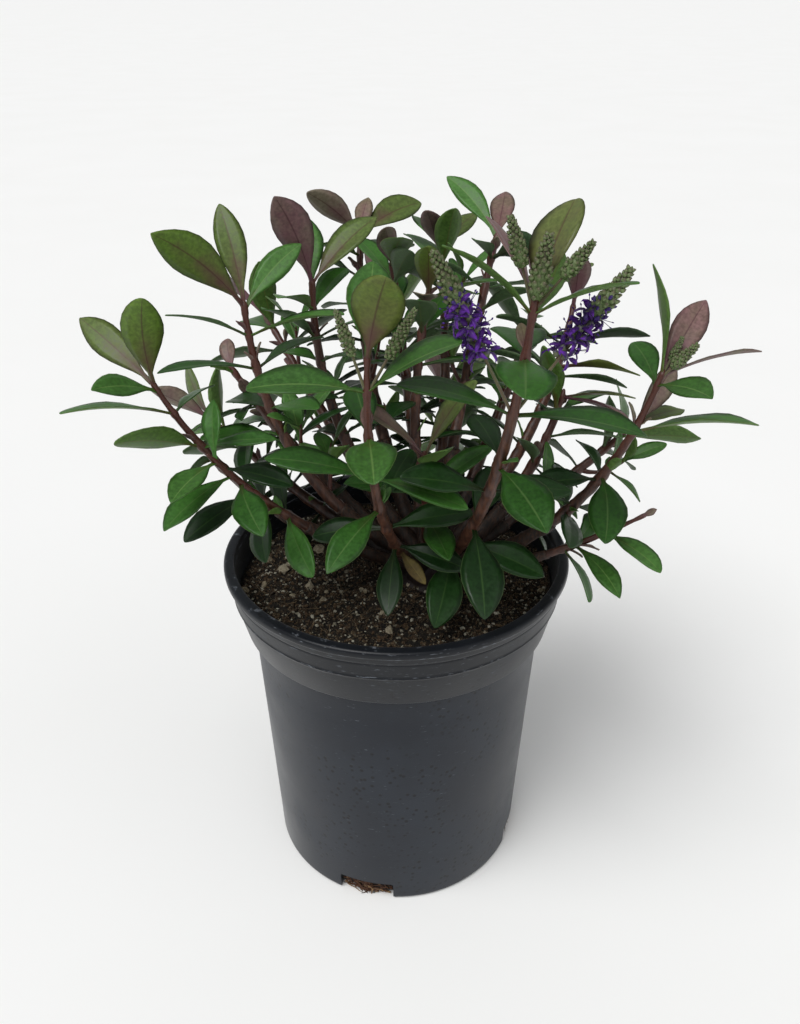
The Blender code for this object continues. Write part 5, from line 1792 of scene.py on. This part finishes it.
@dataclass
class Shrub:
    """The plant: its trunk, and every shoot grown in the order of the solids."""

    pot: Pot
    soil: Soil
    x: float = 16 * MM
    y: float = -3 * MM
    flare: float = 15 * MM
    flare_height: float = 2.5 * MM
    radius: float = 12.5 * MM
    coarse_sides: int = 16
    coarse_rings: int = 6
    fine_sides: int = 96
    fine_rings: int = 40
    relief: float = 0.7 * MM
    heel: float = 3 * MM
    heel_flare: float = 0.7 * MM
    scar_step: float = 11 * MM
    plants: list[Plant] = field(default_factory=list)

    @property
    def middle(self) -> np.ndarray:
        """Point that the stems spread from."""
        return np.array([self.x, self.y, self.soil.level + self.flare_height])

    def trunk_profile(self, rings: int) -> list[tuple[float, float]]:
        """The trunk's section: flared at a flat cut on the soil, domed where the stems part."""
        dome = [(self.radius * math.cos(step), self.middle[2] + self.radius * math.sin(step))
                for step in np.linspace(0.0, math.pi / 2, rings)[1:-1]]
        foot = self.soil.level + CLEARANCE
        return [(0.0, foot), (self.flare, foot), (self.radius, self.soil.level + self.flare_height),
                *dome, (0.0, self.middle[2] + self.radius)]

    def plant_stem(self, shoot: Shoot, heading: np.ndarray) -> Stem:
        """Run a shoot's stem from the trunk, its foot face to face with it.

        Args:
            shoot: The shoot.
            heading: Direction in which it leaves.

        Returns:
            Its stem.
        """
        via = np.array(shoot.via) * MM
        tip = np.array(shoot.tip) * MM
        stem = Stem(self.middle + heading * self.radius, via, tip)
        lean = math.sqrt(max(0.0, 1 - (stem.slopes[0] @ heading) ** 2))
        return Stem(self.middle + heading * (self.radius + CLEARANCE + WOOD.bough_foot * lean), via, tip)

    def grow(self) -> None:
        """Grow every shoot: stems first, then spikes, the listed leaves, and leaves by rule."""
        space = Space()
        space.add(coarse_lathe(self.pot.profile(), self.pot.coarse_sides), "pot")
        space.add(coarse_lathe(self.soil.profile(), self.pot.coarse_sides), "soil")
        headings = RULE.foot_headings(SHOOTS, self.middle)
        self.plants = [Plant(shoot, self.plant_stem(shoot, heading))
                       for shoot, heading in zip(SHOOTS, headings)]
        for plant in self.plants:
            plant.take_room(space)
        trunk, faces = coarse_lathe(self.trunk_profile(self.coarse_rings), self.coarse_sides)
        space.add((trunk + self.middle * (1, 1, 0), faces), "trunk")
        for plant in self.plants:
            plant.grow_spikes(space)
        for plant in self.plants:
            plant.grow_leaves(space, plant.hand_leaves())
        for index, plant in enumerate(self.plants):
            plant.grow_leaves(space, plant.rule_leaves(space, random.Random(RULE.seed + index)))
        for index, plant in enumerate(self.plants):
            plant.grow_leaves(space, plant.small_leaves(space, random.Random(RULE.seed - index)))

    def trunk(self) -> Patch:
        """The trunk with its relief: each point of the dome is pushed out from the middle."""
        profile = np.array(self.trunk_profile(self.fine_rings))
        foot = np.linspace(profile[1], profile[2], 5)[:-1]
        shape = lathe(np.concatenate([profile[:1], foot, profile[2:]]), self.fine_sides, self.radius)
        shape.corners += self.middle * (1, 1, 0)
        away = shape.corners - self.middle
        lumps = rough(away, 9 * MM, 21) + 0.6 * rough(away * (1, 1, 0.35), 2.6 * MM, 22)
        shape.corners += unit(away + TINY) * (lumps * self.relief / 1.6)[:, None]
        return shape

    def build(self) -> None:
        """Make the bark, the leafy stems, the leaves and the flowers from what has grown."""
        self.grow()
        self.build_wood()
        self.build_leaves()
        Flowers(self.plants).build()

    def build_wood(self) -> None:
        """Make the trunk and boughs in one piece, and the leafy stems and twigs in another."""
        barks, stems = [self.trunk()], []
        for index, plant in enumerate(self.plants):
            stem = plant.stem
            joints = np.array([leaf.below * MM for on, leaf, _ in plant.leaves if on is stem])
            scars = np.arange(plant.bare + 4 * MM, stem.length, self.scar_step)
            stout = plant.shoot.stout
            bough = WOOD.fine(stem, stem.length + self.heel, plant.bare - WOOD.joint_width,
                              WOOD.bough_foot * stout, WOOD.stem * stout, scars, index)
            where = np.linalg.norm(bough.corners - stem.points[0], axis=1)
            out = bough.corners - stem.at(stem.length - where)[0]
            bough.corners += unit(out + TINY) * (self.heel_flare * np.exp(-where / (4 * MM)))[:, None]
            barks.append(bough)
            stems.append(WOOD.fine(stem, plant.bare, 0.0, WOOD.stem * stout, WOOD.tip * stout, joints,
                                   index + 50, WOOD.bud))
            stems += [WOOD.fine(twig, twig.length, 0.0, WOOD.twig, WOOD.twig / 2, np.array([0.0, 8 * MM]),
                                index + 100, WOOD.bud) for twig in plant.twigs]
        bark = BarkFinish("Hebe bark, woody, flaking in fine strips", "#160b06", "#482d1a", "#341a10").make()
        place_piece(make_piece("trunk_and_boughs", Patch.joined(barks), [bark]), "bark",
                    "trunk", *("bough_" + plant.shoot.name for plant in self.plants))
        skin = BarkFinish("Hebe stem, young and smooth", "#2f160d", "#573524", "#4a2218", roughness=0.45,
                          streak=1.6 * MM).make()
        place_piece(make_piece("leafy_stems", Patch.joined(stems), [skin]), "bark",
                    *("foliage_" + plant.shoot.name for plant in self.plants))

    def build_leaves(self) -> None:
        """Join the leaves of each age in one piece."""
        for age, finishes in LEAF_FINISHES.items():
            leaves = [LEAF.fine(stem, leaf, plant.shoot.ratio, 1000 * index + number)
                      for index, plant in enumerate(self.plants)
                      for number, (stem, leaf, its_age) in enumerate(plant.leaves) if its_age is age]
            if leaves:
                piece = make_piece(f"{age.name.lower()}_leaves", Patch.joined(leaves),
                                   [finish.make() for finish in finishes])
                place_piece(piece, "foliage")
                LOG.info("%d leaves", len(leaves))


@dataclass
class Flowers:
    """The flower spikes: a stalk, open florets low down, then violet buds, then green ones."""

    plants: list[Plant]
    seed: int = 7
    axis: float = 0.55 * MM
    floret_step: float = 1.3 * MM
    floret_tilt: float = 62.0
    bead_tilt: float = 38.0
    tube_length: float = 2.4 * MM
    petal_length: float = 4.4 * MM
    petal_width: float = 1.8 * MM
    stamen: float = 4.4 * MM
    violet_out: float = 0.15
    bead_share: float = 0.22
    least_bead: float = 1.5 * MM

    def petal(self, turn: float) -> Patch:
        """One lobe of a floret: a thin oval that leaves the tube's mouth and curls back.

        Args:
            turn: Bearing about the floret in degrees.

        Returns:
            The lobe, about the floret's own Z.
        """
        share = np.array([0.04, 0.25, 0.55, 0.85])
        half = self.petal_width / 2 * np.sin(np.pi * share ** 0.8) ** 0.6
        tilt = np.radians(24 + 58 * share)
        out = 0.6 * MM + self.petal_length * share * np.sin(tilt).clip(0.6)
        up = self.tube_length + self.petal_length * share * np.cos(tilt) * 0.8
        thick = 0.16 * MM
        zero = np.zeros_like(share)
        rings = np.stack([np.stack([out, half, up + 0.3 * MM], -1), np.stack([out, zero, up - thick], -1),
                          np.stack([out, -half, up + 0.3 * MM], -1), np.stack([out, zero, up + thick], -1)], 1)
        ends = (np.array([0.5 * MM, 0, self.tube_length]),
                np.array([0.6 * MM + self.petal_length * 0.98, 0, self.tube_length + self.petal_length * 0.0]))
        lobe = loft(rings[:, ::-1], ends)
        angle = math.radians(turn)
        axes = np.array([[math.cos(angle), math.sin(angle), 0], [-math.sin(angle), math.cos(angle), 0],
                         [0, 0, 1.0]])
        return lobe.moved(axes, np.zeros(3))

    def floret(self) -> Patch:
        """An open floret along +Z: calyx, tube, four lobes and two stamens.

        Returns:
            Finish 0 on its lobes, 1 on its tube, 2 on its calyx, 3 on its stamens.
        """
        lobes = Patch.joined([self.petal(turn) for turn in (0, 90, 180, 270)])
        tube_part = pod(self.tube_length * 1.25, 0.95 * MM, 6, 3, 0.7, 0.5)
        tube_part.zones += 1
        calyx = pod(2.5 * MM, 1.25 * MM, 5, 2, 0.5, 0.6)
        calyx.zones += 2
        stamens = []
        for lean in (-0.34, 0.34):
            heading = unit(np.array([lean, 0.22, 1.0]))
            foot = np.array([0, 0, self.tube_length])
            line = foot + heading * np.linspace(0, self.stamen, 3)[:, None]
            stamens.append(tube(line, np.array([heading] * 3), np.full(3, 0.13 * MM), 3))
            anther = pod(1.1 * MM, 0.3 * MM, 4, 2)
            stamens.append(anther.moved(np.eye(3), line[-1] - UP * 0.4 * MM))
        joined = Patch.joined(stamens)
        joined.zones += 3
        return Patch.joined([lobes, tube_part, calyx, joined])

    def build(self) -> None:
        """Set florets and buds round each spike in a golden spiral, and join them by kind."""
        chance = np.random.default_rng(self.seed)
        stalks, florets, violet, green = [], [], [], []
        for plant in self.plants:
            for spike in plant.shoot.spikes:
                point, neck, heading = SPIKE.line(plant.stem, spike)
                tip = neck + heading * spike.length * MM
                steps = np.linspace(0.0, 1.0, 30)[:, None]
                line = point + (tip - point) * steps
                radii = np.linspace(SPIKE.stalk, 0.3 * MM, 30)
                stalks.append(tube(line, np.repeat(heading[None], 30, axis=0), radii, 8))
                self.dress(spike, neck, heading, chance, florets, violet, green)
        finish = PlantFinish("Flower stalk, downy", "#5b5a3a", "#5a4038", 5 * MM, 0.6, sheen=0.3).make()
        place_piece(make_piece("flower_stalks", Patch.joined(stalks), [finish]), "foliage")
        petals = [PlantFinish("Hebe petal, deep violet", "#440a70", "#2a0650", 2.5 * MM, 0.5, "#5c1b98", 0.1),
                  PlantFinish("Hebe flower tube, pale", "#7f8468", "#5b4a86", 2 * MM, 0.5),
                  PlantFinish("Hebe calyx, green and violet", "#7a8660", "#46403f", 2 * MM, 0.6),
                  PlantFinish("Hebe stamen, violet with dark anther", "#4c2090", "#341262", 3 * MM, 0.5,
                              "#150a20")]
        place_piece(make_piece("florets", Patch.joined(florets), [petal.make() for petal in petals]), "foliage")
        finish = PlantFinish("Hebe flower bud, violet", "#46307a", "#5c5488", 2.5 * MM, 0.5, "#2a0c56").make()
        place_piece(make_piece("violet_buds", Patch.joined(violet), [finish]), "foliage")
        finish = PlantFinish("Hebe flower bud, green", "#5c7143", "#7c8a60", 1.6 * MM, 0.45, "#56533e", 0.0).make()
        place_piece(make_piece("green_buds", Patch.joined(green), [finish]), "foliage")

    def dress(self, spike: Spike, neck: np.ndarray, heading: np.ndarray, chance: np.random.Generator,
              florets: list[Patch], violet: list[Patch], green: list[Patch]) -> None:
        """Set the florets and buds of one spike.

        Args:
            spike: The spike.
            neck: Where its head starts.
            heading: Its direction.
            chance: Source of small differences.
            florets: Takes its open florets.
            violet: Takes its coloured buds.
            green: Takes its green buds.
        """
        length = spike.length * MM
        across = unit(np.cross(heading, UP + RIGHT * 0.1))
        over = np.cross(heading, across)
        open_count = int(length * spike.bloom / self.floret_step)
        flowering = spike.bloom > 0.3
        if flowering:
            share = 0.06 + (np.arange(open_count) + 0.5) / open_count * (spike.bloom - 0.1)
            self.ring(self.floret(), share, length, neck, heading, across, over, chance,
                      self.floret_tilt, np.full(open_count, spike.width / 13.5), florets, self.axis)
            count = open_count
            share = spike.bloom - 0.16 + np.arange(count) / count * 0.3
            self.ring(pod(3.6 * MM, 0.8 * MM, 6, 3, 0.6), share, length, neck, heading, across, over,
                      chance, 45, np.linspace(1.1, 0.75, count), violet, spike.width * MM * self.violet_out)
        start = spike.bloom - 0.1 if flowering else 0.0
        widest = spike.width * MM * (0.56 if flowering else 1.0)
        bead = max(widest * self.bead_share, self.least_bead)
        rows = int(length * (1 - start) / (bead * 0.95))
        count = rows * 6
        share = start + (1 - start) * np.linspace(0.0, 0.985, count) ** 0.92
        within = (share - start) / (1 - start)
        outline = np.where(within < 0.25, 0.8 + 0.8 * within, 1.0 - 0.62 * ((within - 0.25) / 0.75) ** 1.3)
        reach = widest / 2 * outline
        sizes = 0.55 + 0.45 * outline
        self.ring(pod(bead * 1.5, bead * 0.5, 7, 4, 0.42, 0.7), share, length, neck, heading, across,
                  over, chance, self.bead_tilt, sizes, green, (reach - bead * sizes * 0.95).clip(0.1 * MM))
        core = neck + heading * (share[::6, None] * length)
        radii = (reach[::6] - bead * 0.75).clip(0.25 * MM)
        green.append(tube(core, np.repeat(heading[None], len(core), axis=0), radii, 8))

    def ring(self, part: Patch, share: np.ndarray, length: float, neck: np.ndarray, heading: np.ndarray,
             across: np.ndarray, over: np.ndarray, chance: np.random.Generator, tilt: float,
             sizes: np.ndarray, into: list[Patch], out: float | np.ndarray) -> None:
        """Set copies of a part round a spike, each a golden turn on from the last.

        Args:
            part: Floret or bud along its own Z.
            share: Place of each along the head.
            length: Length of the head.
            neck: Where the head starts.
            heading: Its direction.
            across: First direction square to it.
            over: Second direction square to it.
            chance: Source of small differences.
            tilt: Angle between a part and the head's direction in degrees.
            sizes: Size of each.
            into: Takes the copies.
            out: Distance of each foot from the axis.
        """
        turn = np.arange(len(share)) * GOLDEN_TURN + chance.uniform(0, 6)
        aside = np.cos(turn)[:, None] * across + np.sin(turn)[:, None] * over
        angle = np.radians(tilt + chance.uniform(-12, 12, len(share)))[:, None]
        pointing = np.cos(angle) * heading + np.sin(angle) * aside
        origins = neck + heading * (share * length)[:, None] + aside * np.broadcast_to(out, len(share))[:, None]
        axes = axes_along(pointing, chance) * (sizes * chance.uniform(0.88, 1.1, len(share)))[:, None, None]
        into.append(repeated(part, axes, origins))


@dataclass
class Studio:
    """A plain pale floor under soft light, seen from where the photograph was taken."""

    focal_length: float = 31.64
    tilt_down: float = 29.51
    camera_at: tuple = (0.0017325, -0.37061742, 0.40216065)
    floor_size: float = 400.0
    floor_rise: float = 6.0
    sky: float = 0.39
    backdrop: float = 0.94
    key: float = 2.3
    fill: float = 0.6
    key_softness: float = 40.0
    fill_softness: float = 80.0

    def build(self) -> None:
        """Set the camera, the floor, two broad soft lights and an even sky, seen as a pale backdrop."""
        scene = bpy.context.scene
        camera = bpy.data.objects.new("camera", bpy.data.cameras.new("camera"))
        camera.data.lens = self.focal_length
        camera.data.clip_start = 0.01
        camera.data.clip_end = self.floor_size
        camera.location = self.camera_at
        camera.rotation_euler = (math.radians(90 - self.tilt_down), 0.0, 0.0)
        scene.collection.objects.link(camera)
        scene.camera = camera
        self.lamp("key light", (-0.45, -0.5, 1.3), self.key, self.key_softness)
        self.lamp("fill light", (0.9, -0.7, 0.7), self.fill, self.fill_softness)
        scene.world = bpy.data.worlds.new("even sky")
        scene.world.use_nodes = True
        sky = scene.world.node_tree.nodes["Background"]
        sky.inputs["Color"].default_value = linear("#f8f9fb")
        seen = add_node(scene.world.node_tree, "ShaderNodeLightPath").outputs["Is Camera Ray"]
        bright = add_node(scene.world.node_tree, "ShaderNodeMapRange", {0: seen, 3: self.sky, 4: self.backdrop})
        scene.world.node_tree.links.new(bright.outputs[0], sky.inputs["Strength"])
        scene.view_settings.view_transform = "Standard"
        across = np.array([-0.5, -0.02, 0.02, 0.5]) * self.floor_size
        place = np.stack(np.meshgrid(across, across), axis=-1).reshape(-1, 2)
        far = np.abs(place).max(axis=1) > self.floor_size / 4
        corners = np.column_stack([place, far * self.floor_rise])
        first = (np.arange(3)[:, None] * 4 + np.arange(3)).reshape(-1, 1)
        faces = first + np.array([0, 1, 5, 4])
        floor = make_piece("floor", Patch(corners, faces, corners, np.zeros(9, int)), [self.floor_finish()])

    def lamp(self, name: str, place: tuple[float, float, float], strength: float, softness: float) -> None:
        """Shine a broad soft light on the middle of the plant.

        Args:
            name: Light's name.
            place: Where it shines from.
            strength: How strong it is.
            softness: How broad it looks from the plant, in degrees.
        """
        light = bpy.data.lights.new(name, "SUN")
        light.energy = strength
        light.angle = math.radians(softness)
        item = bpy.data.objects.new(name, light)
        item.location = place
        aim = unit(np.array(place) - np.array([0.0, 0.0, 0.2]))
        item.rotation_euler = (math.acos(aim[2]), 0.0, math.atan2(aim[1], aim[0]) + math.pi / 2)
        bpy.context.scene.collection.objects.link(item)

    def floor_finish(self) -> bpy.types.Material:
        """Matt white studio card, with the faintest cloudiness."""
        material, shader = start_material("Studio card, matt white", Roughness=0.8)
        tree = material.node_tree
        place = add_node(tree, "ShaderNodeTexCoord").outputs["Object"]
        clouds = add_node(tree, "ShaderNodeTexNoise", {"Vector": place, "Scale": 4.0}).outputs[0]
        body = add_node(tree, "ShaderNodeMix", {0: clouds, 6: linear("#f4f4f3"), 7: linear("#f0f0ee")},
                        data_type="RGBA").outputs[2]
        tree.links.new(body, shader.inputs["Base Color"])
        return material


def main() -> None:
    """Build the pot, the soil, the shrub and the studio in order."""
    logging.basicConfig(level=logging.INFO, format="%(message)s")
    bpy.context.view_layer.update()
    pot = Pot()
    pot.build()
    soil = Soil(pot)
    soil.build()
    Shrub(pot, soil).build()
    Studio().build()


if __name__ == "__main__":
    main()
